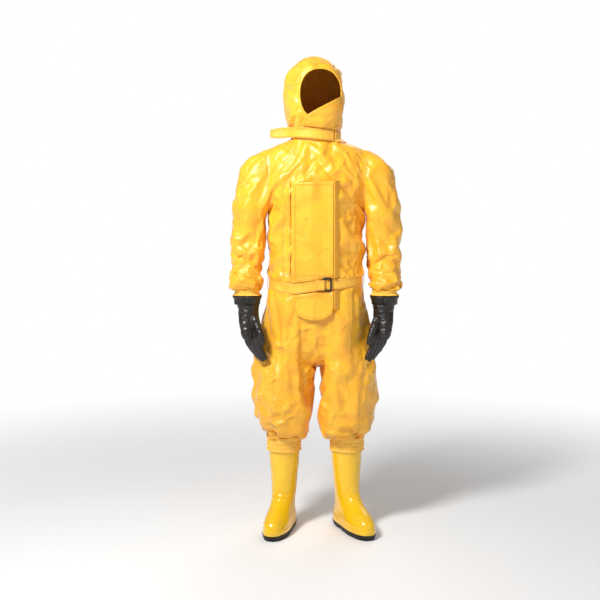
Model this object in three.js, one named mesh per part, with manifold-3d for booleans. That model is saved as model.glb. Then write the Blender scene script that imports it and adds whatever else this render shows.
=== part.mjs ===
// A one-piece chemical protective suit, standing in its worn shape: a hooded coverall of coated fabric
// with a storm flap over the front zipper, a buckled belt, a neck strap, elastic cuffs, rubber gauntlet
// gloves that pull off, and rubber boots held by an elastic band on each leg. Every wall is hollow, so a
// wearer fits inside. Millimetres, +Z up, the chest faces -Y, the wearer's left side is +X.
// The origin is on the floor, under the middle of the suit's outer box.
import * as THREE from "three";
import { mergeVertices } from "three/addons/utils/BufferGeometryUtils.js";
import Module from "manifold-3d";

// ---- Driving dimensions -------------------------------------------------------------------------
const FABRIC = 3; // the coated fabric with its lining and folds, as one wall
const SEAM = 0.6; // gap left between panels that are welded edge to edge
const CLEAR = 1.5; // running clearance between pieces that move past each other

const BOOT_HEIGHT = 322; // floor to the top of the boot shaft
const BAND_GRIP = 18; // how far the leg band reaches down over the boot shaft
const BAND_HEIGHT = 48;
const SHIN_LENGTH = 120; // top of the band to the knee
const THIGH_LENGTH = 218; // knee to the fork
const RISE = 265; // fork to the middle of the belt
const TORSO_LENGTH = 530; // belt to the neck seam
const HOOD_HEIGHT = 312; // neck seam to the crown

const HIP_HALF = 209; // half width at the fork
const WAIST_HALF = 176;
const CHEST_HALF = 180;
const CHEST_DEPTH = 130; // half depth of the chest, which is the plane that the zipper lies on
const NECK_HALF = 92;
const ARMHOLE_X = 190; // each armhole is a flat cut this far from the middle
const ARMHOLE_HALF = 100; // half height of the armhole
const ARMHOLE_DEPTH = 66; // half depth of the armhole
const SLEEVE_HALF = 68; // half width of the upper sleeve
const FOREARM_HALF = 72; // half width where the sleeve blouses above the cuff
const CUFF_HALF = 48;
const CUFF_Y = -38; // the arms hang with their cuffs this far forward
const ARM_X = 260; // the arms hang this far from the middle
const LEG_X = 116; // the legs stand this far from the middle
const LEG_HALF = 104; // half width of the baggy leg
const BLOUSE_HALF = 98; // half width where the leg blouses over the band
const SHAFT_HALF = 60; // half width of the boot shaft at its top

const FLAP_TOP = 118; // neck seam down to the top edge of the chest closure
const FLAP_LEFT = -90; // free edge of the storm flap
const FLAP_RIGHT = 62; // hinged edge of the storm flap
const FLAP_TAIL = 125; // how far the flap hangs below the belt
const FLAP_STANDOFF = 15; // room under the flap for the zipper slider

const BELT_HEIGHT = 40;
const BELT_THICK = 2.4;
const BUCKLE_WIDTH = 34;
const BUCKLE_HEIGHT = 52;
const BUCKLE_ROD = 2.6; // radius of the buckle's moulded frame
const STRAP_HEIGHT = 40;
const ZIP_TEETH = 6;
const ZIP_TAPE = 14;
const SOLE = 20;
const FOOT_LENGTH = 296;
const FOOT_WIDTH = 106;
const HAND_LENGTH = 176; // wrist to fingertips
const GAUNTLET = 62; // glove cuff above the wrist

// ---- Facets of the lofted walls -----------------------------------------------------------------
const TORSO_SIDES = 24;
const HOOD_SIDES = 20;
const LIMB_SIDES = 16;
const BOOT_SIDES = 18;
const FINGER_SIDES = 8;

// ---- Levels, from the floor up ------------------------------------------------------------------
const bandBottom = BOOT_HEIGHT - BAND_GRIP;
const bandTop = bandBottom + BAND_HEIGHT;
const kneeZ = bandTop + SHIN_LENGTH;
const forkZ = kneeZ + THIGH_LENGTH;
const beltZ = forkZ + RISE;
const neckZ = beltZ + TORSO_LENGTH;
const crownZ = neckZ + HOOD_HEIGHT;
const shoulderZ = neckZ - 212;
const elbowZ = shoulderZ - 188;
const cuffZ = elbowZ - 162;
const kneeGap = 63; // half height of the soft section at the knee
const elbowGap = 50;
const hipZ = forkZ - 90; // foot of the soft section at the hip
const flapSlot = BUCKLE_HEIGHT / 2 + 9; // the flap leaves this half height free for the belt

// ---- Solids -------------------------------------------------------------------------------------
const wasm = await Module();
wasm.setup();
const FAR = 3000;

// A closed three.js geometry as a solid that can be joined and cut.
function solid(geometry) {
  const bare = geometry.index ? geometry.toNonIndexed() : geometry.clone();
  bare.deleteAttribute("normal");
  bare.deleteAttribute("uv");
  const merged = mergeVertices(bare, 1e-3);
  return new wasm.Manifold(
    new wasm.Mesh({
      numProp: 3,
      vertProperties: merged.attributes.position.array,
      triVerts: new Uint32Array(merged.index.array),
    }),
  );
}

// A solid's surface as a three.js geometry.
function surface(body) {
  const mesh = body.getMesh();
  const positions = new Float32Array(mesh.numVert * 3);
  for (let i = 0; i < mesh.numVert; i++) {
    positions.set(mesh.vertProperties.subarray(i * mesh.numProp, i * mesh.numProp + 3), i * 3);
  }
  const geometry = new THREE.BufferGeometry();
  geometry.setAttribute("position", new THREE.BufferAttribute(positions, 3));
  geometry.setIndex(new THREE.BufferAttribute(mesh.triVerts, 1));
  geometry.computeVertexNormals();
  return geometry;
}

function box(low, high) {
  const geometry = new THREE.BoxGeometry(high[0] - low[0], high[1] - low[1], high[2] - low[2]);
  geometry.translate((low[0] + high[0]) / 2, (low[1] + high[1]) / 2, (low[2] + high[2]) / 2);
  return solid(geometry);
}

// Everything between two heights.
function between(body, low, high) {
  return body.intersect(box([-FAR, -FAR, low], [FAR, FAR, high]));
}

// A rounded ring of a loft: x and y are its middle, rx and ry its half widths, and square is 2 for an
// ellipse and more for a boxier outline. along is the way that the loft runs through it, where that
// isn't straight up or down, and turn is the angle that its outline is turned by.
function ring(x, y, z, rx, ry, square = 2, along = null, turn = 0) {
  return { at: new THREE.Vector3(x, y, z), rx, ry, square, along, turn };
}
function lifted(r, dz) {
  return { ...r, at: r.at.clone().setZ(r.at.z + dz) };
}

// A closed loft through its rings, from the first to the last, with flat ends. It is a cylinder whose
// rows are carried onto the rings. grow moves its wall out, and stretch moves its two ends out.
function loft(rings, grow = 0, sides = LIMB_SIDES, stretch = 0) {
  const rows = rings.length - 1;
  const geometry = new THREE.CylinderGeometry(1, 1, 1, sides, rows);
  const position = geometry.attributes.position;
  const across = new THREE.Vector3();
  const inward = new THREE.Vector3();
  const depth = new THREE.Vector3(0, 1, 0);
  for (let i = 0; i < position.count; i++) {
    const row = Math.round((position.getY(i) + 0.5) * rows);
    const here = rings[row];
    const before = rings[Math.max(row - 1, 0)];
    const after = rings[Math.min(row + 1, rows)];
    const level = new THREE.Vector3(0, 0, Math.sign(after.at.z - before.at.z));
    const along = (here.along ?? level).clone().normalize();
    across.crossVectors(depth, along).normalize();
    inward.crossVectors(across, along);
    const cos = position.getX(i);
    const sin = position.getZ(i);
    const round = (value) => Math.sign(value) * Math.abs(value) ** (2 / here.square);
    const middle = Math.hypot(cos, sin) < 0.5 ? 0 : 1;
    const end = row === 0 ? -stretch : row === rows ? stretch : 0;
    const u = middle * (here.rx + grow) * round(cos);
    const v = middle * (here.ry + grow) * round(sin);
    const point = here.at.clone();
    point.addScaledVector(across, u * Math.cos(here.turn) - v * Math.sin(here.turn));
    point.addScaledVector(inward, u * Math.sin(here.turn) + v * Math.cos(here.turn));
    point.addScaledVector(along, end);
    position.setXYZ(i, point.x, point.y, point.z);
  }
  return solid(geometry);
}

// The hollow of a vessel whose first ring is its closed end. It runs past the open end by open.
function hollow(rings, wall, sides = LIMB_SIDES, open = 20) {
  const way = Math.sign(rings[1].at.z - rings[0].at.z);
  const last = rings[rings.length - 1];
  const past = open > 0 ? [lifted(last, way * open)] : [];
  return loft([lifted(rings[0], way * wall), ...rings.slice(1), ...past], -wall, sides);
}

// An open tube: a loft with a hollow right through it.
function tube(rings, wall = FABRIC, sides = LIMB_SIDES) {
  return loft(rings, 0, sides).subtract(loft(rings, -wall, sides, 12));
}

// A skin that lies on a loft, from near to far outside it.
function skin(rings, near, far, sides = TORSO_SIDES) {
  return loft(rings, far, sides, 2).subtract(loft(rings, near, sides, 30));
}

// A prism along Y whose outline is drawn in X and Z.
function prism(shape, yLow, yHigh, curves = 8) {
  const geometry = new THREE.ExtrudeGeometry(shape, {
    depth: yHigh - yLow,
    bevelEnabled: false,
    curveSegments: curves,
  });
  geometry.rotateX(Math.PI / 2);
  geometry.translate(0, yHigh, 0);
  return solid(geometry);
}

// ---- Materials ----------------------------------------------------------------------------------
function finish(color, roughness, metalness = 0) {
  return new THREE.MeshStandardMaterial({ color, roughness, metalness });
}
const suitFabric = finish(0xf2b22e, 0.5);
const liningFabric = finish(0xd08a1c, 0.7);
const webbing = finish(0xeda02a, 0.6);
const elastic = finish(0xe9aa3c, 0.75);
const bootRubber = finish(0xf8c413, 0.32);
const soleRubber = finish(0x17120f, 0.6);
const gloveRubber = finish(0x2a2624, 0.45);
const darkPlastic = finish(0x2b1710, 0.35);
const zipperPlastic = finish(0xd99a22, 0.45);
const zipperMetal = finish(0x9a958c, 0.3, 0.9);

const suit = new THREE.Group();
function piece(name, body, material, parent = suit) {
  const mesh = new THREE.Mesh(surface(body), material);
  mesh.name = name;
  parent.add(mesh);
  return mesh;
}

// ---- Torso --------------------------------------------------------------------------------------
const torsoRings = [
  ring(0, 0, forkZ, HIP_HALF, 118, 2.6),
  ring(0, 0, forkZ + 110, HIP_HALF - 11, 126, 2.6),
  ring(0, 0, beltZ - 45, WAIST_HALF + 12, CHEST_DEPTH, 2.7),
  ring(0, 0, beltZ, WAIST_HALF, CHEST_DEPTH, 2.8),
  ring(0, 0, beltZ + 60, WAIST_HALF + 5, CHEST_DEPTH, 2.8),
  ring(0, 0, neckZ - 305, CHEST_HALF, CHEST_DEPTH, 2.8),
  ring(0, 0, neckZ - 225, ARMHOLE_X + 5, CHEST_DEPTH, 2.8),
  ring(0, 0, neckZ - 150, ARMHOLE_X + 14, CHEST_DEPTH, 2.8),
  ring(0, 2, neckZ - 90, ARMHOLE_X + 16, CHEST_DEPTH - 12, 2.6),
  ring(0, 4, neckZ - 40, ARMHOLE_X + 10, CHEST_DEPTH - 28, 2.4),
  ring(0, 4, neckZ - 16, NECK_HALF + 52, NECK_HALF - 2, 2.2),
  ring(0, 2, neckZ, NECK_HALF + 4, NECK_HALF - 8, 2),
];
const armholeZ = neckZ - 122;

function torsoShell() {
  let body = loft(torsoRings, 0, TORSO_SIDES).subtract(hollow(torsoRings, FABRIC, TORSO_SIDES));
  for (const side of [-1, 1]) {
    const high = ARMHOLE_HALF - FABRIC;
    const deep = ARMHOLE_DEPTH - FABRIC;
    const outward = new THREE.Vector3(side, 0, 0);
    const armhole = loft([
      ring(side * (ARMHOLE_X - 60), 0, armholeZ, high, deep, 2, outward),
      ring(side * FAR, 0, armholeZ, high, deep, 2, outward),
    ]);
    const legX = side * (LEG_X - 6);
    const legHole = loft([
      ring(legX, 0, forkZ - 20, LEG_HALF - 12, 98, 2.2),
      ring(legX, 0, forkZ + 20, LEG_HALF - 12, 98, 2.2),
    ]);
    body = body.subtract(armhole).subtract(legHole);
  }
  const shoulders = box([-ARMHOLE_X, -FAR, neckZ - 305], [ARMHOLE_X, FAR, FAR]);
  return body.intersect(shoulders).add(between(body, -FAR, neckZ - 305));
}
const torso = torsoShell();
const gussetTop = forkZ + FABRIC;
piece(
  "front_panel",
  torso.intersect(box([-FAR, -FAR, gussetTop + SEAM], [FAR, -SEAM / 2, FAR])),
  suitFabric,
);
piece(
  "back_panel",
  torso.intersect(box([-FAR, SEAM / 2, gussetTop + SEAM], [FAR, FAR, FAR])),
  suitFabric,
);
piece("leg_gusset", between(torso, 0, gussetTop), suitFabric);

// The stand collar, with the closing strap's fixed patch on it.
const collarHeight = 22;
const collarRings = [
  ring(0, 2, neckZ + SEAM, NECK_HALF, NECK_HALF - 8, 2),
  ring(-2, 1, neckZ + collarHeight, NECK_HALF - 4, NECK_HALF - 9, 2),
];
piece("collar", tube(collarRings, FABRIC, HOOD_SIDES), suitFabric);

// ---- Chest closure ------------------------------------------------------------------------------
const flapTopZ = neckZ - FLAP_TOP - 34;
const flapBottomZ = beltZ - FLAP_TAIL;
const zipX = (FLAP_LEFT + FLAP_RIGHT) / 2;
const zipTop = flapTopZ - 14;
const zipBottom = beltZ + flapSlot + 14;
const zipFace = -CHEST_DEPTH - SEAM; // the zipper's back
const teethThick = 3.2;

for (const [name, side] of [["zipper_tape_right", -1], ["zipper_tape_left", 1]]) {
  const inner = zipX + side * (ZIP_TEETH / 2 + 0.4);
  const outer = inner + side * ZIP_TAPE;
  piece(
    name,
    box(
      [Math.min(inner, outer), zipFace - 1, zipBottom - 8],
      [Math.max(inner, outer), zipFace, zipTop + 8],
    ),
    zipperPlastic,
  );
}
const teeth = box(
  [zipX - ZIP_TEETH / 2, zipFace - teethThick, zipBottom],
  [zipX + ZIP_TEETH / 2, zipFace, zipTop + 6],
);
piece("zipper_teeth", teeth, zipperPlastic);
piece(
  "zipper_bottom_stop",
  box(
    [zipX - ZIP_TEETH / 2 - 1, zipFace - teethThick - 1, zipBottom - 7],
    [zipX + ZIP_TEETH / 2 + 1, zipFace - 1.4, zipBottom - 0.6],
  ),
  zipperMetal,
);

// The slider wraps the teeth from the front, and its pull hangs from a bridge on its face.
const sliderLow = zipTop - 24;
const sliderFace = zipFace - teethThick - 3.4;
function zipperSlider() {
  const half = ZIP_TEETH / 2 + 3.2;
  const block = box([zipX - half, sliderFace, sliderLow], [zipX + half, zipFace - 1.6, zipTop]);
  const track = box(
    [zipX - ZIP_TEETH / 2 - 0.6, zipFace - teethThick - 0.6, sliderLow - 5],
    [zipX + ZIP_TEETH / 2 + 0.6, zipFace + 5, zipTop + 5],
  );
  const bridge = box(
    [zipX - 2, sliderFace - 3.4, zipTop - 14],
    [zipX + 2, sliderFace, zipTop - 3],
  );
  const eye = box(
    [zipX - 3, sliderFace - 2.4, zipTop - 12],
    [zipX + 3, sliderFace + 0, zipTop - 5],
  );
  return block.subtract(track).add(bridge.subtract(eye));
}
piece("zipper_slider", zipperSlider(), zipperMetal);
const pullPivotZ = zipTop - 8.5;
const pullY = sliderFace - 1.2;
function zipperPull() {
  const pin = new THREE.CylinderGeometry(0.7, 0.7, 8.4, 10);
  pin.rotateZ(Math.PI / 2);
  pin.translate(zipX, pullY, pullPivotZ);
  const arms = [-1, 1].map((side) =>
    box(
      [zipX + side * 3.4 - 0.8, pullY - 0.8, pullPivotZ - 9],
      [zipX + side * 3.4 + 0.8, pullY + 0.8, pullPivotZ + 0.8],
    ),
  );
  const tab = new THREE.Shape();
  tab.absarc(zipX, pullPivotZ - 26, 4.2, Math.PI, 2 * Math.PI, false);
  tab.lineTo(zipX + 4.2, pullPivotZ - 8);
  tab.lineTo(zipX - 4.2, pullPivotZ - 8);
  const plate = prism(tab, pullY - 0.8, pullY + 0.8, 6);
  return solid(pin).add(arms[0]).add(arms[1]).add(plate);
}
piece("zipper_pull", zipperPull(), zipperMetal);

// The storm flap follows the chest, in two lengths that leave the belt's path free.
function flapOutline(low, high, corner) {
  const shape = new THREE.Shape();
  shape.moveTo(FLAP_RIGHT, high);
  shape.lineTo(FLAP_LEFT, high);
  if (corner > 0) {
    shape.absarc(FLAP_LEFT + corner, low + corner, corner, Math.PI, 1.5 * Math.PI, false);
    shape.absarc(FLAP_RIGHT - corner, low + corner, corner, 1.5 * Math.PI, 2 * Math.PI, false);
  } else {
    shape.lineTo(FLAP_LEFT, low);
    shape.lineTo(FLAP_RIGHT, low);
  }
  return shape;
}
function chestSkin(low, high, corner, near, far) {
  return skin(torsoRings, near, far).intersect(
    prism(flapOutline(low, high, corner), -FAR, 0, 6),
  );
}
const flapFar = FLAP_STANDOFF + FABRIC;
const upperFlap = chestSkin(beltZ + flapSlot, flapTopZ, 0, FLAP_STANDOFF, flapFar);
const lowerFlap = chestSkin(flapBottomZ, beltZ - flapSlot, 34, FLAP_STANDOFF, flapFar);
piece("storm_flap_upper", upperFlap, suitFabric);
piece("storm_flap_lower", lowerFlap, suitFabric);
// The sewn edge that the flap hangs from, built up off the chest.
function flapWelt(low, high) {
  return skin(torsoRings, SEAM, flapFar).intersect(
    box([FLAP_RIGHT + SEAM, -FAR, low], [FLAP_RIGHT + 12, 0, high]),
  );
}
piece("flap_welt_upper", flapWelt(beltZ + flapSlot, flapTopZ), suitFabric);
piece("flap_welt_lower", flapWelt(flapBottomZ + 30, beltZ - flapSlot), suitFabric);
piece(
  "flap_underlap",
  chestSkin(beltZ - flapSlot + 2, beltZ + flapSlot - 2, 0, SEAM, SEAM + 1.6),
  suitFabric,
);
// A snap holds the flap's middle, and its cap shows on the flap.
const snapX = zipX - 26;
const snapZ = beltZ + 245;
function disc(radius, yLow, yHigh) {
  const geometry = new THREE.CylinderGeometry(radius, radius, yHigh - yLow, 16);
  geometry.translate(snapX, (yLow + yHigh) / 2, snapZ);
  return solid(geometry);
}
piece("snap_cap", disc(7.5, -CHEST_DEPTH - flapFar - 2.4, -CHEST_DEPTH - flapFar - 0.3), suitFabric);

// The expansion pleat beside the flap's free edge.
piece(
  "chest_pleat",
  skin(torsoRings, SEAM, 9).intersect(
    box([FLAP_LEFT - 34, -FAR, beltZ + flapSlot + 10], [FLAP_LEFT - 6, 0, flapTopZ - 6]),
  ),
  suitFabric,
);

// ---- Belt ---------------------------------------------------------------------------------------
const beltNear = 5;
const beltFar = beltNear + BELT_THICK;
piece(
  "belt",
  between(skin(torsoRings, beltNear, beltFar), beltZ - BELT_HEIGHT / 2, beltZ + BELT_HEIGHT / 2),
  webbing,
);
const loopHeight = BELT_HEIGHT + 16;
function beltLoop(outline) {
  const outside = skin(torsoRings, SEAM, beltFar + 3).intersect(outline);
  const passage = skin(torsoRings, beltNear - CLEAR, beltFar + CLEAR);
  return between(outside, beltZ - loopHeight / 2, beltZ + loopHeight / 2).subtract(
    between(passage, beltZ - BELT_HEIGHT / 2 - 2, beltZ + BELT_HEIGHT / 2 + 2),
  );
}
piece("belt_loop_right", beltLoop(box([-FAR, -8, 0], [-100, 8, FAR])), suitFabric);
piece("belt_loop_left", beltLoop(box([100, -8, 0], [FAR, 8, FAR])), suitFabric);
piece("belt_loop_back", beltLoop(box([-8, 60, 0], [8, FAR, FAR])), suitFabric);

// The buckle is a moulded frame that swings on its own side bar, held by a fold of the belt.
const buckleX = 26; // the bar that the frame swings on
const buckleY = -CHEST_DEPTH - beltFar - BUCKLE_ROD - 1.2;
const rodFlats = 6;
function frameRod(from, to) {
  const length = from.distanceTo(to);
  const geometry = new THREE.CylinderGeometry(BUCKLE_ROD, BUCKLE_ROD, length, rodFlats);
  geometry.applyQuaternion(
    new THREE.Quaternion().setFromUnitVectors(
      new THREE.Vector3(0, 1, 0),
      to.clone().sub(from).normalize(),
    ),
  );
  const middle = from.clone().add(to).multiplyScalar(0.5);
  geometry.translate(middle.x, middle.y, middle.z);
  return solid(geometry);
}
function knuckle(at) {
  const geometry = new THREE.SphereGeometry(BUCKLE_ROD * 1.06, rodFlats, 6);
  geometry.translate(at.x, at.y, at.z);
  return solid(geometry);
}
function buckleFrame() {
  const high = BUCKLE_HEIGHT / 2 - BUCKLE_ROD;
  const wide = BUCKLE_WIDTH - 2 * BUCKLE_ROD;
  const corners = [
    [buckleX, high],
    [buckleX + wide, high],
    [buckleX + wide, -high],
    [buckleX, -high],
  ].map(([x, dz]) => new THREE.Vector3(x, buckleY, beltZ + dz));
  return corners
    .map((corner, i) => frameRod(corner, corners[(i + 1) % 4]).add(knuckle(corner)))
    .reduce((sum, part) => sum.add(part));
}
piece("belt_buckle", buckleFrame(), darkPlastic);
function beltFold() {
  const round = BUCKLE_ROD + 0.5;
  const half = BELT_HEIGHT / 2 - 2;
  const outer = frameRodAt(round + 1.2, half);
  const tail = box(
    [buckleX - 26, buckleY - round - 1.2, beltZ - half],
    [buckleX, buckleY - round, beltZ + half],
  );
  return outer.add(tail).subtract(frameRodAt(round, half + 5));
}
function frameRodAt(radius, half) {
  const geometry = new THREE.CylinderGeometry(radius, radius, 2 * half, 12);
  geometry.rotateX(Math.PI / 2);
  geometry.translate(buckleX, buckleY, beltZ);
  return solid(geometry);
}
piece(
  "belt_fold",
  beltFold().subtract(loft(torsoRings, beltFar + 0.4, TORSO_SIDES)),
  webbing,
);

// ---- Hood ---------------------------------------------------------------------------------------
const hoodBase = neckZ + collarHeight + 2;
const hoodX = -5;
const hoodRings = [
  ring(hoodX, 8, crownZ, 18, 26, 2),
  ring(hoodX, 8, crownZ - 8, NECK_HALF - 46, NECK_HALF - 36, 2.1),
  ring(hoodX, 8, crownZ - 24, NECK_HALF - 18, NECK_HALF - 4, 2.3),
  ring(hoodX, 8, hoodBase + 235, NECK_HALF + 6, NECK_HALF + 18, 2.4),
  ring(hoodX, 7, hoodBase + 190, NECK_HALF + 16, NECK_HALF + 28, 2.4),
  ring(hoodX, 6, hoodBase + 125, NECK_HALF + 21, NECK_HALF + 30, 2.3),
  ring(hoodX, 6, hoodBase + 72, NECK_HALF + 19, NECK_HALF + 26, 2.2),
  ring(hoodX, 5, hoodBase + 34, NECK_HALF + 8, NECK_HALF + 10),
  ring(hoodX, 2, hoodBase, NECK_HALF - 4, NECK_HALF - 8),
];
const hoodShell = loft(hoodRings, 0, HOOD_SIDES).subtract(hollow(hoodRings, FABRIC, HOOD_SIDES));
// The face opening is an oval, wider at the brow.
const faceX = 16;
const faceZ = hoodBase + 140;
function faceOutline(half, high, low) {
  const shape = new THREE.Shape();
  const left = faceX - half;
  const right = faceX + half;
  const top = faceZ + high;
  const bottom = faceZ - low;
  shape.moveTo(left, faceZ);
  shape.bezierCurveTo(left, faceZ + high * 0.8, faceX - half * 0.5, top, faceX, top);
  shape.bezierCurveTo(faceX + half * 0.6, top, right, faceZ + high * 0.6, right, faceZ);
  shape.bezierCurveTo(right, faceZ - low * 0.6, faceX + half * 0.3, bottom, faceX, bottom);
  shape.bezierCurveTo(faceX - half * 0.4, bottom, left, faceZ - low * 0.5, left, faceZ);
  return shape;
}
const faceHalf = 80;
const faceHigh = 92;
const faceLow = 96;
const hood = hoodShell.subtract(prism(faceOutline(faceHalf, faceHigh, faceLow), -FAR, -8, 6));
const crownHalf = 36;
piece(
  "hood_right_panel",
  hood.intersect(box([-FAR, -FAR, 0], [hoodX - crownHalf - SEAM / 2, FAR, FAR])),
  suitFabric,
);
piece(
  "hood_left_panel",
  hood.intersect(box([hoodX + crownHalf + SEAM / 2, -FAR, 0], [FAR, FAR, FAR])),
  suitFabric,
);
const crown = hood.intersect(
  box([hoodX - crownHalf + SEAM / 2, -FAR, 0], [hoodX + crownHalf - SEAM / 2, FAR, FAR]),
);
const chinLimit = faceZ;
piece(
  "hood_crown_panel",
  crown.subtract(box([-FAR, -FAR, 0], [FAR, -20, chinLimit])),
  suitFabric,
);
piece("hood_chin_panel", crown.intersect(box([-FAR, -FAR, 0], [FAR, -20, chinLimit])), suitFabric);

// The chin flap closes the lower face, and swings on its seam at the wearer's left cheek.
const strapLow = neckZ + 1;
const strapTop = strapLow + STRAP_HEIGHT;
function chinOutline() {
  const shape = new THREE.Shape();
  const faceBottom = faceZ - faceLow;
  shape.moveTo(faceX - 76, strapTop + 14);
  shape.lineTo(faceX - 46, faceBottom + 26);
  shape.lineTo(faceX + 4, faceBottom + 52);
  shape.lineTo(faceX + 80, faceBottom + 98);
  shape.lineTo(faceX + 86, strapTop + 52);
  shape.lineTo(faceX + 62, strapTop + 4);
  return shape;
}
piece(
  "chin_flap",
  skin(hoodRings, CLEAR + 1, CLEAR + 1 + FABRIC, HOOD_SIDES).intersect(prism(chinOutline(), -FAR, -14, 6)),
  suitFabric,
);

// ---- Neck strap ---------------------------------------------------------------------------------
// It lies round the front of the neck, from its stitched end at the wearer's left to the right side,
// where its free tail stands clear.
const strapRings = [
  ring(hoodX, 2, strapLow - 30, NECK_HALF + 8, NECK_HALF),
  ring(hoodX, 2, strapTop + 60, NECK_HALF + 8, NECK_HALF),
];
const strapEndX = hoodX + NECK_HALF - 18;
function neckStrap() {
  const band = between(
    skin(strapRings, 2, 2 + BELT_THICK).intersect(box([-FAR, -FAR, 0], [strapEndX, -6, FAR])),
    strapLow,
    strapTop,
  );
  const tailX = hoodX - NECK_HALF - 8;
  const tail = box(
    [tailX - 68, -12, strapLow + 2],
    [tailX + 1, -12 + BELT_THICK, strapTop - 2],
  );
  return band.add(tail.subtract(loft(strapRings, 2 + BELT_THICK / 2, TORSO_SIDES)));
}
piece("neck_strap", neckStrap(), webbing);
piece(
  "strap_patch",
  between(
    skin(strapRings, 2, 2 + BELT_THICK).intersect(
      box([strapEndX + CLEAR, -FAR, 0], [FAR, -8, FAR]),
    ),
    strapLow,
    strapTop,
  ),
  webbing,
);

// ---- Arms ---------------------------------------------------------------------------------------
// A ring of the shoulder's bend, from its lower inner edge to its upper outer edge.
function bendRing(side, inner, outer, y, ry) {
  const across = new THREE.Vector3(outer[0] - inner[0], 0, outer[1] - inner[1]);
  const along = new THREE.Vector3(side * across.z, 0, -across.x);
  const x = (side * (inner[0] + outer[0])) / 2;
  return ring(x, y, (inner[1] + outer[1]) / 2, across.length() / 2, ry, 2, along);
}
function armRings(side) {
  const x = side * ARM_X;
  const pitX = ARMHOLE_X + SEAM;
  const pitZ = armholeZ - ARMHOLE_HALF;
  const topZ = armholeZ + ARMHOLE_HALF;
  return [
    bendRing(side, [pitX, pitZ], [pitX, topZ], 0, ARMHOLE_DEPTH),
    bendRing(side, [pitX + 1, pitZ - 5], [pitX + 38, topZ - 24], 0, 70),
    bendRing(side, [pitX + 1.5, pitZ - 11], [pitX + 74, topZ - 70], 0, 72),
    bendRing(side, [pitX + 1.5, pitZ - 19], [pitX + 106, topZ - 128], 0, 70),
    bendRing(side, [pitX + 1.2, pitZ - 30], [pitX + 126, topZ - 192], -1, 68),
    ring(x, -2, pitZ - 76, SLEEVE_HALF, 66, 2.1),
    ring(x, -6, elbowZ, SLEEVE_HALF, 66, 2.1),
    ring(x, -16, elbowZ - 72, FOREARM_HALF - 2, 70, 2.2),
    ring(x, -30, cuffZ + 42, FOREARM_HALF, 70, 2.3),
    ring(x, -36, cuffZ + 14, CUFF_HALF + 14, CUFF_HALF + 8, 2.1),
    ring(x, CUFF_Y, cuffZ, CUFF_HALF, CUFF_HALF - 2, 2),
  ];
}
const upperTop = armholeZ - ARMHOLE_HALF - 62;
function sleeves(side, name) {
  const arm = tube(armRings(side));
  const slice = (low, high) => between(arm, low, high);
  piece("sleeve_cap_" + name, slice(upperTop + SEAM, FAR), suitFabric);
  piece("sleeve_upper_" + name, slice(elbowZ + elbowGap + SEAM, upperTop), suitFabric);
  piece("sleeve_elbow_" + name, slice(elbowZ - elbowGap + SEAM, elbowZ + elbowGap), suitFabric);
  piece("sleeve_lower_" + name, slice(cuffZ + 1, elbowZ - elbowGap), suitFabric);
  piece(
    "cuff_elastic_" + name,
    tube(
      [
        ring(side * ARM_X, CUFF_Y, cuffZ - 13, CUFF_HALF + 1, CUFF_HALF - 1),
        ring(side * ARM_X, CUFF_Y, cuffZ, CUFF_HALF + 1, CUFF_HALF - 1),
      ],
    ),
    elastic,
  );
}

// ---- Gloves -------------------------------------------------------------------------------------
// The hand hangs a quarter turned, with its thumb in front, and the fingers curl in to the thigh.
const gloveWall = 2.4;
const gloveTop = cuffZ - 16;
const wristZ = gloveTop - GAUNTLET;
const knuckleZ = wristZ - 84;
const HAND_TURN = 0.8; // the angle that the hand's width is turned in by

function handRings(side) {
  const at = (inset, y, z, rx, ry, square, turn) =>
    ring(side * (ARM_X - inset), y, z, rx, ry, square, null, -side * turn);
  return [
    at(20, -72, wristZ - 98, 22, 42, 2.8, HAND_TURN),
    at(17, -71, wristZ - 82, 28, 45, 2.6, HAND_TURN),
    at(10, -62, wristZ - 40, 30, 45, 2.4, HAND_TURN),
    at(5, -52, wristZ, 37, 40, 2.1, HAND_TURN),
    at(3, -44, gloveTop - 26, 46, 44, 2.1, 0),
    at(1, -41, gloveTop - 18, 51, 49, 2.1, 0),
    at(0, -40, gloveTop, 53, 51, 2.1, 0),
  ];
}
function fingerRings(side, index) {
  const aside = (index - 1.5) * 20.5;
  const reach = [-14, 2, 8, 0][index];
  const length = HAND_LENGTH - 84 + reach;
  const at = (t, r) => {
    const inset = 18 + 8 * t + 26 * t * t + aside * Math.sin(HAND_TURN) * (1 - 0.15 * t);
    const y = -71 - 16 * t - aside * Math.cos(HAND_TURN) * (1 - 0.15 * t);
    return ring(side * (ARM_X - inset), y, knuckleZ - length * t, r, r * 0.95);
  };
  return [at(1, 4.5), at(0.95, 8.5), at(0.7, 11), at(0.35, 12), at(-0.1, 12.5)];
}
function thumbRings(side) {
  const at = (inset, y, drop, r) => ring(side * (ARM_X - inset), y, wristZ - drop, r, r);
  return [
    at(62, -112, 118, 5),
    at(60, -112, 108, 11),
    at(54, -108, 84, 13.5),
    at(42, -98, 54, 15.5),
    at(28, -80, 26, 17),
  ];
}
function glove(side) {
  const palm = handRings(side);
  const fingers = [0, 1, 2, 3].map((index) => fingerRings(side, index)).concat([thumbRings(side)]);
  const outside = fingers.reduce((sum, rings) => sum.add(loft(rings, 0, FINGER_SIDES)), loft(palm));
  const inside = fingers.reduce(
    (sum, rings) => sum.add(hollow(rings, gloveWall, FINGER_SIDES, 0)),
    hollow(palm, gloveWall),
  );
  const rim = palm.at(-1);
  const bead = [-8, 0].map((dz) =>
    ring(rim.at.x, rim.at.y, gloveTop + dz, rim.rx + 3, rim.ry + 3, 2.1),
  );
  return outside.subtract(inside).add(tube(bead, 4));
}
function gloves(side, name) {
  const whole = glove(side);
  piece("glove_hand_" + name, between(whole, 0, wristZ - SEAM), gloveRubber);
  piece("glove_gauntlet_" + name, between(whole, wristZ, FAR), gloveRubber);
}

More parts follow.
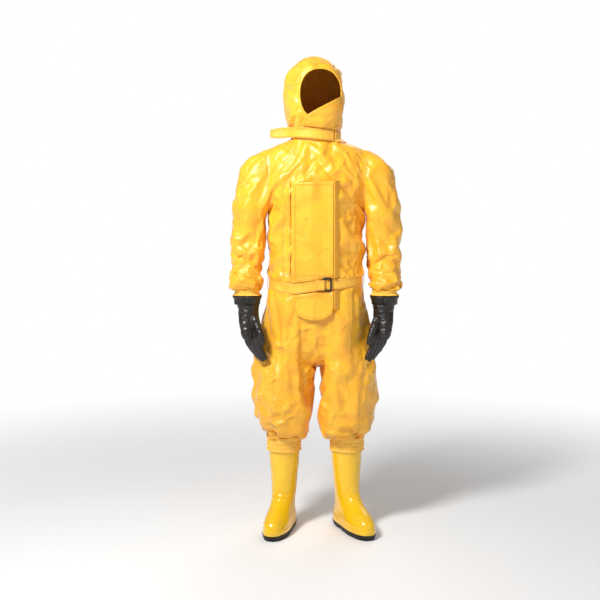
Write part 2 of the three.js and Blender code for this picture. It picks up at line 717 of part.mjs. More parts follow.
// ---- Legs and boots -----------------------------------------------------------------------------
function legRings(side) {
  return [
    ring(side * (LEG_X - 6), 0, forkZ - SEAM, LEG_HALF, 110, 2.2),
    ring(side * (LEG_X - 2), 0, kneeZ + 80, LEG_HALF, 108, 2.2),
    ring(side * LEG_X, 0, kneeZ, LEG_HALF - 1, 104, 2.2),
    ring(side * (LEG_X + 1), 0, bandTop + 66, LEG_HALF - 2, 102, 2.2),
    ring(side * (LEG_X + 4), 0, bandTop + 30, BLOUSE_HALF - 4, 96, 2.1),
    ring(side * (LEG_X + 6), 2, bandTop + 8, SHAFT_HALF + 14, SHAFT_HALF + 16, 2),
    ring(side * (LEG_X + 6), 2, bandTop + SEAM, SHAFT_HALF + 7.5, SHAFT_HALF + 9, 2),
  ];
}
function legs(side, name) {
  const leg = tube(legRings(side));
  piece("leg_hip_" + name, between(leg, hipZ + SEAM, FAR), suitFabric);
  piece("leg_upper_" + name, between(leg, kneeZ + kneeGap + SEAM, hipZ), suitFabric);
  piece("leg_knee_" + name, between(leg, kneeZ - kneeGap + SEAM, kneeZ + kneeGap), suitFabric);
  piece("leg_lower_" + name, between(leg, 0, kneeZ - kneeGap), suitFabric);
  const shaftX = side * (LEG_X + 6);
  piece(
    "boot_band_" + name,
    tube(
      [
        ring(shaftX, 2, bandBottom, SHAFT_HALF + 7.5, SHAFT_HALF + 9, 2),
        ring(shaftX, 2, bandTop, SHAFT_HALF + 7.5, SHAFT_HALF + 9, 2),
      ],
      FABRIC,
      BOOT_SIDES,
    ),
    elastic,
  );
}

// A boot in its own group: its toe points to -Y, and the group turns it outwards.
const ankleZ = 118;
const footMiddle = -62; // the sole's middle, ahead of the shaft's axis
function bootRings() {
  const half = FOOT_LENGTH / 2 - 5;
  const wide = FOOT_WIDTH / 2 - 4;
  return [
    ring(0, footMiddle, SOLE + SEAM, wide, half, 2.5),
    ring(0, footMiddle + 1, SOLE + 22, wide + 1, half, 2.5),
    ring(0, footMiddle + 6, SOLE + 44, wide - 2, half - 8, 2.3),
    ring(0, footMiddle + 24, SOLE + 66, wide - 7, half - 32, 2.2),
    ring(0, footMiddle + 44, SOLE + 84, wide - 8, half - 58, 2.1),
    ring(0, -6, ankleZ + 22, 46, 60, 2),
    ring(0, 0, ankleZ + 66, 49, 60, 2),
    ring(0, 2, BOOT_HEIGHT - 70, SHAFT_HALF - 4, SHAFT_HALF - 1, 2),
    ring(0, 2, BOOT_HEIGHT, SHAFT_HALF, SHAFT_HALF + 2, 2),
  ];
}
function boots(side, name, toeOut) {
  const group = new THREE.Group();
  group.position.set(side * (LEG_X + 6), 0, 0);
  group.rotation.z = (side * toeOut * Math.PI) / 180;
  suit.add(group);
  const rubber = 3.5;
  const rings = bootRings();
  piece(
    "boot_" + name,
    loft(rings, 0, BOOT_SIDES).subtract(hollow(rings, rubber, BOOT_SIDES, 16)),
    bootRubber,
    group,
  );

  // The sole is one slab with its heel block, joined where the arch is cut away.
  const outer = rings[0];
  const slab = loft(
    [
      ring(0, footMiddle, 0, outer.rx - 1, outer.ry - 1, 2.5),
      ring(0, footMiddle, SOLE, outer.rx + 4, outer.ry + 4, 2.5),
    ],
    0,
    BOOT_SIDES,
  );
  const arch = box([-FAR, footMiddle + 8, -5], [FAR, footMiddle + 52, SOLE - 8]);
  piece("boot_sole_" + name, slab.subtract(arch), soleRubber, group);
  const insoleTop = SOLE + SEAM + rubber;
  piece(
    "boot_insole_" + name,
    loft(
      [
        ring(0, footMiddle, insoleTop + 0.4, outer.rx - rubber - 4, outer.ry - rubber - 4, 2.5),
        ring(0, footMiddle, insoleTop + 4.4, outer.rx - rubber - 4, outer.ry - rubber - 4, 2.5),
      ],
      0,
      BOOT_SIDES,
    ),
    liningFabric,
    group,
  );
}

for (const [side, name, toeOut] of [[-1, "right", 14], [1, "left", 23]]) {
  sleeves(side, name);
  gloves(side, name);
  legs(side, name);
  boots(side, name, toeOut);
}

// The frame's origin is under the middle of the outer box.
suit.updateMatrixWorld(true);
const middle = new THREE.Box3().setFromObject(suit).getCenter(new THREE.Vector3());
suit.position.set(-middle.x, -middle.y, 0);

export default suit;
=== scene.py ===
# %% [markdown]
# # A one-piece chemical protective suit
# The suit is one hollow shell of coated fabric in the shape it has when it is worn. Its size and its joints come
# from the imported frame. The fabric is made as one surface for the whole coverall and draped by a cloth
# simulation, because the folds of a real suit run on from the chest into the sleeves and legs. It is cut into
# pieces afterwards, one for each stretch that bends.

# %% Frame, and the levels that everything is measured from
import math

import bmesh
import bpy
import numpy as np
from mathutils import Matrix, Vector


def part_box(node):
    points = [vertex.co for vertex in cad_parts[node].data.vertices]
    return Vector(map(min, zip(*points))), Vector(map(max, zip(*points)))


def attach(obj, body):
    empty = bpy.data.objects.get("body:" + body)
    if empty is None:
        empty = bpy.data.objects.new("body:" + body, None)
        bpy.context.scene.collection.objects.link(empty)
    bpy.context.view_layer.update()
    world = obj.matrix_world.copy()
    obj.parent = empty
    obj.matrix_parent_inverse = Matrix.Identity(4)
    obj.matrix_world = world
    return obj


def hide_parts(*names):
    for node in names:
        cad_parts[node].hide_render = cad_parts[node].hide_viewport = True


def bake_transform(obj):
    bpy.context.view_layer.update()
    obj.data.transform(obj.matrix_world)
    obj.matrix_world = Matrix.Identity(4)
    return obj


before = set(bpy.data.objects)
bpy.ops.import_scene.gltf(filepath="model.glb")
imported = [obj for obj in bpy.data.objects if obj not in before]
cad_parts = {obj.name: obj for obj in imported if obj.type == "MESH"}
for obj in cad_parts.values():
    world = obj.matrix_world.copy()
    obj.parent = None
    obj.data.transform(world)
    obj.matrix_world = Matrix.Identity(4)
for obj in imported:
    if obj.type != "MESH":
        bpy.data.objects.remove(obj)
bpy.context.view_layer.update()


def box(node):
    """The lowest and highest corners of a CAD node, as two arrays."""
    return np.array([list(corner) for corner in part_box(node)])


def middle(node):
    return box(node).mean(axis=0)


CHEST, BACK, HOOD = box("front_panel"), box("back_panel"), box("hood_crown_panel")
MID_Y = (CHEST[0, 1] + BACK[1, 1]) / 2  # the middle of the suit's depth
CHEST_Y = CHEST[0, 1]  # the flat of the chest, where the zipper lies
DEPTH = (BACK[1, 1] - CHEST[0, 1]) / 2
FORK_Z, NECK_Z, CROWN_Z = box("leg_gusset")[0, 2], box("collar")[0, 2], HOOD[1, 2]
BELT_Z, WAIST = middle("belt")[2], 0.173
CUFF_TOP = box("cuff_elastic_left")[1, 2]
BAND = box("boot_band_left")
ARM_X, ELBOW_Z = middle("sleeve_upper_left")[0], middle("sleeve_elbow_left")[2]
LEG_X, KNEE_Z = middle("leg_knee_left")[0], middle("leg_knee_left")[2]
PIT_X, PIT_Z = box("sleeve_cap_left")[0, 0], 1.262
HOOD_X = middle("hood_crown_panel")[0]
SIDES = {"right": -1, "left": 1}

# %% [markdown]
# ## Surfaces
# Every soft shape starts as a stack of rounded rings. Each ring has a middle, two half widths and a squareness:
# 2 is an ellipse, and more is boxier. A smooth curve is passed through the rings, so a few of them are enough.

# %% Rings, smooth stacks of rings, and meshes from grids
def smooth(rings, count):
    """Rows in between the given rings, on a Catmull-Rom curve: each stretch follows a cubic whose slope at a
    ring is half the step from the ring before it to the ring after it."""
    rings = np.array(rings, float)
    place = np.linspace(0, len(rings) - 1, count)
    first = np.clip(place.astype(int), 0, len(rings) - 2)
    t = (place - first)[:, None]
    before, a, b, after = (rings[np.clip(first + k, 0, len(rings) - 1)] for k in (-1, 0, 1, 2))
    bend = (2 * before - 5 * a + 4 * b - after) * t**2 + (3 * (a - b) + after - before) * t**3
    return 0.5 * (2 * a + (b - before) * t + bend)


def stack(rings, rows, columns, grow=0.0, follow=False):
    """A grid of points round a stack of rings (x, y, z, half width, half depth, squareness, turn). A point at
    the angle a is at the middle plus half width times cos(a) to the power 2/squareness along the ring, and half
    depth times sin(a) to that power across it. Rings stay level unless they follow the curve."""
    ring = smooth(rings, rows)
    centre, size, power, turn = ring[:, :3], ring[:, 3:5] + grow, 2 / ring[:, 5:6], ring[:, 6:]
    way = np.gradient(centre, axis=0) if follow else np.array([[0, 0, 1.0]]) * np.sign(centre[-1, 2] - centre[0, 2])
    way = way / np.linalg.norm(way, axis=1)[:, None] * np.ones((rows, 1))
    wide = np.cross([0, 1.0, 0], way)
    wide /= np.linalg.norm(wide, axis=1)[:, None]
    deep = np.cross(wide, way)
    wide, deep = wide * np.cos(turn) + deep * np.sin(turn), deep * np.cos(turn) - wide * np.sin(turn)
    angle = np.linspace(0, 2 * np.pi, columns, endpoint=False)
    cos, sin = boxy(np.cos(angle), power), boxy(np.sin(angle), power)
    return (
        centre[:, None]
        + (size[:, :1] * cos)[..., None] * wide[:, None]
        + (size[:, 1:] * sin)[..., None] * deep[:, None]
    )


def quads(rows, columns, closed):
    """The faces of a grid of rows times columns, joined round its columns if it is closed."""
    row = np.arange(rows - 1)[:, None] * columns
    here = np.arange(columns if closed else columns - 1)[None]
    there = (here + 1) % columns
    return np.stack([row + here, row + there, row + columns + there, row + columns + here], -1).reshape(-1, 4)


def loop_quads(rows, columns):
    """The faces of a grid that is closed round its columns and from its last row to its first."""
    return quads(rows + 1, columns, True) % (rows * columns)


def boxy(wave, power):
    """A cosine or sine raised to a power with its sign kept, which makes a superellipse of a circle."""
    return np.sign(wave) * np.abs(wave) ** power


def add(name, points, faces):
    mesh = bpy.data.meshes.new(name)
    mesh.from_pydata(np.asarray(points, float).reshape(-1, 3).tolist(), [], [list(map(int, f)) for f in faces])
    piece = bpy.data.objects.new(name, mesh)
    bpy.context.scene.collection.objects.link(piece)
    return piece


def outwards(piece):
    mesh = bmesh.new()
    mesh.from_mesh(piece.data)
    bmesh.ops.recalc_face_normals(mesh, faces=mesh.faces)
    mesh.to_mesh(piece.data)
    mesh.free()
    return piece


def grid_piece(name, points, closed=False, caps=False):
    """A piece from a grid of points (rows, columns, 3), closed round its columns if it is a tube, with flat
    ends if it has caps."""
    rows, columns = points.shape[:2]
    faces = [list(f) for f in quads(rows, columns, closed)]
    if caps:
        faces += [list(range(columns))[::-1], list(range((rows - 1) * columns, rows * columns))]
    return add(name, points, faces)


def only(piece):
    bpy.ops.object.select_all(action="DESELECT")
    piece.select_set(True)
    bpy.context.view_layer.objects.active = piece
    return piece


def finish(piece, kind, **values):
    """Adds a modifier with the given values and applies it at once."""
    modifier = only(piece).modifiers.new(kind, kind)
    for key, value in values.items():
        setattr(modifier, key, value)
    bpy.ops.object.modifier_apply(modifier=modifier.name)
    return piece


def joined(pieces, name):
    bpy.ops.object.select_all(action="DESELECT")
    for piece in pieces:
        piece.select_set(True)
    bpy.context.view_layer.objects.active = pieces[0]
    bpy.ops.object.join()
    pieces[0].name = pieces[0].data.name = name
    return pieces[0]


def normals_of(piece):
    normals = np.empty(len(piece.data.vertices) * 3)
    piece.data.vertex_normals.foreach_get("vector", normals)
    return normals.reshape(-1, 3)


def points_of(piece):
    points = np.empty(len(piece.data.vertices) * 3)
    piece.data.vertices.foreach_get("co", points)
    return points.reshape(-1, 3)


def move_points(piece, points):
    piece.data.vertices.foreach_set("co", np.asarray(points, np.float32).ravel())
    piece.data.update()


def ripple(points, seed, scale, count=24):
    """Smooth random bumps: the mean of count sine waves in random directions, about scale metres long."""
    dice = np.random.default_rng(seed)
    ways = dice.normal(0, 2 * np.pi / scale / 1.7, (count, 3))
    return np.sin(points @ ways.T + dice.uniform(0, 2 * np.pi, count)).sum(-1) / math.sqrt(count)


def soft_step(value, low, high):
    t = np.clip((value - low) / (high - low), 0, 1)
    return t * t * (3 - 2 * t)


def crumple(points, seed, scale, count=7):
    """Straight-edged folds: triangle waves in random directions, about scale metres long, each bent a little and
    strong only in patches."""
    dice = np.random.default_rng(seed)
    total = np.zeros(len(points))
    for k in range(count):
        way = dice.normal(0, 1, 3)
        bend_by = 0.30 * ripple(points, seed * 31 + k, scale * 3)
        phase = points @ (way / np.linalg.norm(way)) / scale + bend_by + dice.uniform()
        patch = soft_step(ripple(points, seed * 17 + k, scale * 2.5), 0.1, 1.2)
        total += patch * (4 * np.abs(phase - np.round(phase)) - 1)
    return total / math.sqrt(count) * 1.6


print("surface tools ready")

# %% [markdown]
# ## The coverall before it is draped
# The torso with the hood, two sleeves and two legs are five stacks of rings. A voxel remesh joins them into one
# skin. The same stacks, made smaller, give the body that the fabric hangs on; that body is removed again.

# %% Rings of the torso, the hood, the sleeves and the legs
def ring(x, y, z, wide, deep, square=2.0, turn=0.0):
    return [x, MID_Y + y, z, wide, deep, square, turn]


hip, shoulder = box("leg_gusset")[1, 0], 0.200
torso_rings = [
    ring(0, 0, FORK_Z, hip, 0.118, 2.6),
    ring(0, 0, FORK_Z + 0.11, hip - 0.011, 0.126, 2.6),
    ring(0, 0, BELT_Z - 0.045, WAIST + 0.012, DEPTH, 2.6),
    ring(0, 0, BELT_Z, WAIST, DEPTH - 0.002, 2.6),
    ring(0, 0, BELT_Z + 0.05, WAIST + 0.005, DEPTH, 2.6),
    ring(0, 0, NECK_Z - 0.305, WAIST + 0.004, DEPTH, 2.6),
    ring(0, 0, NECK_Z - 0.255, WAIST + 0.006, DEPTH, 2.6),
    ring(0, 0, NECK_Z - 0.222, PIT_X - 0.006, DEPTH, 2.6),
    ring(0, 0, NECK_Z - 0.150, PIT_X + 0.005, DEPTH - 0.002, 2.6),
    ring(0, 0.002, NECK_Z - 0.090, shoulder, DEPTH - 0.012, 2.4),
    ring(0, 0.004, NECK_Z - 0.040, shoulder - 0.004, DEPTH - 0.030, 2.2),
    ring(0, 0.004, NECK_Z - 0.016, 0.146, 0.090, 2.1),
    ring(0, 0.002, NECK_Z, 0.098, 0.084),
    ring(-0.003, 0.002, NECK_Z + 0.014, 0.089, 0.083),
]
hood_rings = [
    ring(HOOD_X, 0.002, NECK_Z + 0.026, 0.089, 0.084),
    ring(HOOD_X, 0.005, NECK_Z + 0.058, 0.101, 0.100),
    ring(HOOD_X, 0.006, NECK_Z + 0.096, 0.111, 0.117, 2.2),
    ring(HOOD_X, 0.006, NECK_Z + 0.149, 0.114, 0.121, 2.3),
    ring(HOOD_X, 0.007, NECK_Z + 0.214, 0.111, 0.120, 2.3),
    ring(HOOD_X, 0.008, CROWN_Z - 0.053, 0.101, 0.112, 2.3),
    ring(HOOD_X, 0.008, CROWN_Z - 0.024, 0.078, 0.090, 2.2),
    ring(HOOD_X, 0.008, CROWN_Z - 0.007, 0.050, 0.060, 2.1),
    ring(HOOD_X, 0.008, CROWN_Z, 0.020, 0.026),
]


def bend(side, inner, outer, y, deep):
    """A ring across the shoulder's bend, from its lower inner edge to its upper outer edge."""
    inner, outer = np.array(inner), np.array(outer)
    x, z = (inner + outer) / 2
    return ring(side * x, y, z, np.linalg.norm(outer - inner) / 2, deep)


def sleeve_rings(side):
    x, top = side * ARM_X, PIT_Z + 0.2
    return [
        ring(side * 0.10, 0, PIT_Z + 0.1, 0.095, 0.066),
        bend(side, (PIT_X, PIT_Z), (PIT_X, top), 0, 0.066),
        bend(side, (PIT_X + 0.002, PIT_Z - 0.004), (PIT_X + 0.038, top - 0.024), 0, 0.070),
        bend(side, (PIT_X + 0.004, PIT_Z - 0.010), (PIT_X + 0.074, top - 0.070), 0, 0.073),
        bend(side, (PIT_X + 0.008, PIT_Z - 0.019), (PIT_X + 0.106, top - 0.128), 0, 0.072),
        bend(side, (PIT_X + 0.013, PIT_Z - 0.032), (PIT_X + 0.128, top - 0.192), -0.001, 0.070),
        ring(x + side * 0.008, -0.002, PIT_Z - 0.076, 0.064, 0.067, 2.1),
        ring(x + side * 0.010, -0.006, ELBOW_Z, 0.065, 0.067, 2.1),
        ring(x + side * 0.008, -0.016, ELBOW_Z - 0.072, 0.066, 0.070, 2.2),
        ring(x + side * 0.006, -0.030, CUFF_TOP + 0.042, 0.066, 0.068, 2.2),
        ring(x + side * 0.002, -0.036, CUFF_TOP + 0.014, 0.058, 0.057, 2.1),
        ring(x, -0.038, CUFF_TOP, 0.048, 0.046),
    ]


def leg_rings(side):
    x, top = side * LEG_X, BAND[1, 2]
    return [
        ring(side * 0.105, 0, FORK_Z + 0.11, 0.080, 0.100, 2.2),
        ring(side * 0.113, 0, FORK_Z + 0.01, 0.099, 0.110, 2.2),
        ring(side * 0.118, 0, KNEE_Z + 0.13, 0.106, 0.111, 2.2),
        ring(side * 0.117, 0, KNEE_Z + 0.06, 0.104, 0.108, 2.2),
        ring(x, 0, KNEE_Z, 0.100, 0.103, 2.1),
        ring(x + side * 0.001, 0, top + 0.082, 0.095, 0.097, 2.1),
        ring(x + side * 0.003, 0, top + 0.050, 0.087, 0.089),
        ring(x + side * 0.005, 0.001, top + 0.024, 0.077, 0.079),
        ring(x + side * 0.007, 0.002, top, 0.0675, 0.069),
    ]


def coverall(name, grow, voxel):
    """The five stacks joined into one closed skin, moved out by grow."""
    stacks = [(torso_rings + hood_rings, 140, 72, False)]
    for side in SIDES.values():
        stacks += [(sleeve_rings(side), 60, 40, True), (leg_rings(side), 60, 44, False)]
    tubes = [
        outwards(grid_piece(name, stack(rings, rows, columns, grow, follow), closed=True, caps=True))
        for rings, rows, columns, follow in stacks
    ]
    return finish(joined(tubes, name), "REMESH", mode="VOXEL", voxel_size=voxel)


suit = coverall("coverall", 0.0, 0.0105)
body = coverall("wearer", -0.021, 0.015)
print("coverall skin", len(suit.data.vertices), "points, body", len(body.data.vertices))

# %% [markdown]
# ## Cut lines and the face opening
# The lines where the pieces part are scored into the skin before it is draped, so that a cut follows the fabric
# however it falls. A line is where a field over the points changes sign: each edge that crosses it gets a point
# on the line, and the faces are split between those points.

# %% Score the cut lines, then name each face's piece
FACE = (HOOD_X + 0.021, box("hood_chin_panel")[0, 2] + 0.143)  # the middle of the face opening
FACE_WIDE, FACE_HIGH = 0.078, 0.093
SLEEVE_CUT, LEG_CUT, HIP_CUT = PIT_Z - 0.122, 0.570, FORK_Z - 0.004
NECK_CUT = NECK_Z + 0.016


def face_field(p):
    """Below 0 inside the face opening: a rounded oval in front of the hood."""
    x, z = (p[:, 0] - FACE[0]) / FACE_WIDE, (p[:, 2] - FACE[1]) / FACE_HIGH
    return (np.abs(x) ** 2.3 + np.abs(z) ** 2.3) ** (1 / 2.3) - 1


def score(mesh, field, near):
    """Splits the faces along field = 0, on the edges whose ends both satisfy near."""
    mesh.verts.ensure_lookup_table()
    points = np.array([v.co for v in mesh.verts])
    mesh.verts.index_update()
    value, close = field(points), near(points)
    ends = np.array([[e.verts[0].index, e.verts[1].index] for e in mesh.edges])
    a, b = value[ends[:, 0]], value[ends[:, 1]]
    crossing = np.nonzero((a * b < 0) & close[ends].all(1))[0]
    mesh.edges.ensure_lookup_table()
    edges = [mesh.edges[i] for i in crossing]
    share = (a / np.where(a == b, 1, a - b))[crossing]
    places = points[ends[crossing, 0]] * (1 - share)[:, None] + points[ends[crossing, 1]] * share[:, None]
    made = []
    for edge, place in zip(edges, places):
        _, vertex = bmesh.utils.edge_split(edge, edge.verts[0], 0.5)
        vertex.co = Vector(place)
        made.append(vertex)
    bmesh.ops.connect_verts(mesh, verts=made)
    return len(made)


def arm_side(p):
    return np.abs(p[:, 0]) - PIT_X


def around_arm(p):
    return p[:, 2] > PIT_Z - 0.06


def level(z):
    return lambda p: p[:, 2] - z - 1e-5


def low_arm(p):
    return (np.abs(p[:, 0]) > PIT_X) & (p[:, 2] > 0.85)


def legs(p):
    return p[:, 2] < FORK_Z + 0.05


def at_neck(p):
    return (np.abs(p[:, 0]) < 0.13) & (p[:, 2] > NECK_Z - 0.03)


def in_front(p):
    return (p[:, 1] < MID_Y - 0.02) & (p[:, 2] > NECK_Z + 0.03)


skin = bmesh.new()
skin.from_mesh(suit.data)
for field, near in [
    (arm_side, around_arm),
    (level(SLEEVE_CUT), low_arm),
    (level(CUFF_TOP + 0.002), low_arm),
    (level(HIP_CUT), legs),
    (level(LEG_CUT), legs),
    (level(BAND[1, 2] + 0.004), legs),
    (level(NECK_CUT), at_neck),
    (face_field, in_front),
]:
    print("scored", score(skin, field, near), "points")
skin.to_mesh(suit.data)
skin.free()

rest = points_of(suit)
centres = np.array([f.center for f in suit.data.polygons])
x, y, z = centres.T
arm = (np.abs(x) > PIT_X) & (z > CUFF_TOP - 0.02) & ((z > PIT_Z - 0.06) | (np.abs(x) > PIT_X - 0.001))
arm &= (z > 1.05) | (np.abs(x) > PIT_X)
arm &= ~((z < 0.99) & (np.abs(x) < 0.1875))
leg = ~arm & (z < HIP_CUT)
names = np.full(len(centres), "coverall_torso", dtype=object)
for word, side in SIDES.items():
    mine = x * side > 0
    names[arm & mine] = "sleeve_upper_cloth_" + word
    names[arm & mine & (z < SLEEVE_CUT)] = "sleeve_lower_cloth_" + word
    names[leg & mine] = "leg_upper_cloth_" + word
    names[leg & mine & (z < LEG_CUT)] = "leg_lower_cloth_" + word
names[~arm & (z > NECK_CUT)] = "hood_cloth"
gone = (face_field(centres) < 0) & in_front(centres)
gone |= arm & (z < CUFF_TOP + 0.002)
gone |= leg & (z < BAND[1, 2] + 0.004)
names[gone] = "waste"
piece_names = sorted(set(names))
suit.data.attributes.new("piece", "INT", "FACE").data.foreach_set(
    "value", np.array([piece_names.index(n) for n in names], np.int32)
)
print({n: int((names == n).sum()) for n in piece_names})

# %% [markdown]
# ## Draping
# The fabric is cut longer than the body it hangs on, so it is given a little extra length all over and let fall.
# It is held where the real suit is held: under the belt, at the elastic cuffs and leg bands, at the neck, round
# the face and along the flat strip that carries the zipper. Air inside keeps it off the body.

# %% Run the cloth simulation
FLAP, TAIL = box("storm_flap_upper"), box("storm_flap_lower")
FLAP_MID_X, FLAP_END_Z = -0.014, 0.81  # the flap covers the chest about this line, down to this height


def belt_height(x, back=0.0):
    """The belt's middle: it sags in front of the right hip and climbs to the left one."""
    sag = np.interp(x, [-0.19, -0.08, 0.02, 0.06, 0.19], [-0.006, -0.018, -0.004, -0.001, 0.012])
    return BELT_Z + sag * (1 - back)


def behind(p):
    return np.clip((p[:, 1] - MID_Y) / 0.08, 0, 1)


def held(p):
    """How firmly each point is held, from 0 to 1."""
    x, y, z = p.T
    wide = np.abs(x)
    hold = np.zeros(len(p))
    hold[(z < BAND[1, 2] + 0.010) | ((wide > PIT_X) & (z < CUFF_TOP + 0.008) & (z > 0.85))] = 1
    waist = (wide < 0.187) & (np.abs(z - belt_height(x, behind(p))) < 0.017)
    hold[waist] = 1
    hold[(wide < 0.12) & (np.abs(z - NECK_Z - 0.016) < 0.014)] = 1
    rim = np.abs(face_field(p)) * FACE_WIDE
    hold[in_front(p) & (rim < 0.009)] = 1
    hold[in_front(p) & (face_field(p) < 0)] = 1
    strip = (x > FLAP[0, 0] + 0.006) & (x < FLAP[1, 0] + 0.004) & (y < MID_Y - 0.05)
    strip &= (z > TAIL[0, 2] + 0.008) & (z < FLAP[1, 2] - 0.004)
    hold[strip] = 0.96
    return hold


def drape(cloth, solid, frames=22):
    start = points_of(cloth)
    hold = held(start)
    limb = (start[:, 2] < FORK_Z) | (np.abs(start[:, 0]) > PIT_X)
    taut = np.where(hold > 0, 1.0, np.where(limb, 0.08, 0.40))
    for name, weight in (("held", hold), ("taut", taut)):
        group = cloth.vertex_groups.new(name=name)
        for value in np.unique(weight[weight > 0]):
            group.add([int(i) for i in np.nonzero(weight == value)[0]], float(value), "REPLACE")
    loose = (1 - hold)[:, None]
    push = np.stack([ripple(start, seed, 0.17) for seed in (3, 5, 8)], -1)
    way = normals_of(cloth)
    creased = crumple(start, 2, 0.14) * np.where(limb, 0.0050, 0.0022)
    move_points(cloth, start + (0.0016 * push + creased[:, None] * way) * loose)
    only(solid).modifiers.new("COLLISION", "COLLISION")
    solid.collision.thickness_outer, solid.collision.cloth_friction = 0.004, 8
    modifier = only(cloth).modifiers.new("CLOTH", "CLOTH")
    cloth_of = modifier.settings
    cloth_of.quality, cloth_of.mass, cloth_of.air_damping = 4, 0.35, 2
    cloth_of.tension_stiffness = cloth_of.compression_stiffness = 40
    cloth_of.shear_stiffness, cloth_of.bending_stiffness = 15, 1.6
    cloth_of.vertex_group_mass, cloth_of.pin_stiffness = "held", 1
    cloth_of.vertex_group_shrink, cloth_of.shrink_min, cloth_of.shrink_max = "taut", -0.115, 0.0
    cloth_of.use_pressure, cloth_of.uniform_pressure_force = True, 1.9
    cloth_of.effector_weights.gravity = 0.40
    modifier.collision_settings.distance_min = 0.003
    modifier.point_cache.frame_start, modifier.point_cache.frame_end = 1, frames
    scene = bpy.context.scene
    scene.frame_start, scene.frame_end = 1, frames
    for number in range(1, frames + 1):
        scene.frame_set(number)
    bpy.ops.object.modifier_apply(modifier=modifier.name)
    scene.frame_set(1)
    print("draped: points moved", round(1000 * np.linalg.norm(points_of(cloth) - start, axis=1).mean(), 1), "mm")


suit.data.attributes.new("cut", "FLOAT_VECTOR", "POINT").data.foreach_set("vector", rest.astype(np.float32).ravel())
drape(suit, body)
bpy.data.objects.remove(body)
finish(suit, "SUBSURF", levels=1, render_levels=1)
fallen = points_of(suit)


def close_up(points):
    """The sleeves hang against the body: both move together a little between the armpit and the cuffs."""
    x, z = points[:, 0], points[:, 2]
    share = soft_step(z, 0.955, 1.02) * (1 - soft_step(z, PIT_Z - 0.075, PIT_Z - 0.02))
    body_side = (np.abs(x) > 0.12) & (np.abs(x) < 0.199)
    toward = np.where(body_side, soft_step(np.abs(x), 0.12, 0.175) * 0.007, -0.005 * (np.abs(x) >= 0.199))
    y = points[:, 1]
    low_back = -0.5 * np.maximum(y - 0.176, 0)
    return points + np.stack([np.sign(x) * toward * share, low_back, 0 * x], -1)


def crisp(points, way):
    """Sets small straight-edged folds into the draped cloth, away from where it is held."""
    first = read(suit.data, "cut", "vector", 3)
    limb = (first[:, 2] < FORK_Z) | (np.abs(first[:, 0]) > PIT_X)
    free = soft_step(np.abs(first[:, 2] - belt_height(first[:, 0], behind(first))), 0.020, 0.045)
    free *= soft_step(first[:, 2], BAND[1, 2] + 0.008, BAND[1, 2] + 0.03)
    free *= np.where(limb & (first[:, 2] > 0.8), soft_step(first[:, 2], CUFF_TOP + 0.006, CUFF_TOP + 0.03), 1)
    free *= soft_step(np.abs(first[:, 2] - NECK_Z - 0.016), 0.012, 0.03)
    free *= np.where(in_front(first), soft_step(face_field(first) * FACE_WIDE, 0.004, 0.02), 1)
    under_flap = (np.abs(first[:, 0] - FLAP_MID_X) < 0.08) & (first[:, 1] < MID_Y) & (first[:, 2] > FLAP_END_Z)
    free *= np.where(under_flap, 0.25, 1)
    leg_share = 1 - soft_step(first[:, 2], FORK_Z - 0.02, FORK_Z + 0.16)
    broad = (np.where(limb, 0.0046, 0.0032) + 0.0034 * leg_share) * crumple(first, 6, 0.105)
    broad += 0.0052 * leg_share * crumple(first, 14, 0.065)
    free *= np.where(first[:, 2] < FORK_Z + 0.03, soft_step(np.abs(first[:, 0]), 0.010, 0.040), 1)
    height = broad + crumple(first, 9, 0.046) * 0.0010
    return points + way * (height * free)[:, None]


def read(mesh, name, kind, width, dtype=float):
    values = np.empty(len(mesh.attributes[name].data) * width, dtype)
    mesh.attributes[name].data.foreach_get(kind, values)
    return values.reshape(-1, width) if width > 1 else values


fallen = close_up(crisp(fallen, normals_of(suit)))
move_points(suit, fallen)
print("coverall after smoothing", len(fallen), "points")

# %% [markdown]
# ## From one cloth to the pieces
# Each piece takes its own faces out of the draped cloth. It keeps the normals of the whole cloth, so the shading
# runs on across a cut and no line shows where two pieces meet. It also keeps each point's place on the pattern
# before draping, which the materials use for seams and weave, so these follow every fold.

# %% Cut the cloth into its pieces
ZIP = box("zipper_teeth")
wide_zip = np.abs(fallen[:, 0] - ZIP[:, 0].mean()) < 0.024
behind_zip = wide_zip & (fallen[:, 1] < MID_Y) & (fallen[:, 2] > ZIP[0, 2] - 0.02) & (fallen[:, 2] < ZIP[1, 2] + 0.02)
fallen[behind_zip, 1] = np.maximum(fallen[behind_zip, 1], CHEST_Y + 0.0012)
move_points(suit, fallen)


corners = np.empty(len(suit.data.loops), np.int32)
suit.data.loops.foreach_get("vertex_index", corners)
corners = corners.reshape(-1, 4)
pattern = read(suit.data, "cut", "vector", 3)
part = read(suit.data, "piece", "value", 1, np.int32)
normals = normals_of(suit)


def near_line(value, where):
    """A signed distance to a seam where it may be sewn, and 1 elsewhere."""
    return np.where(where, value, 1.0)


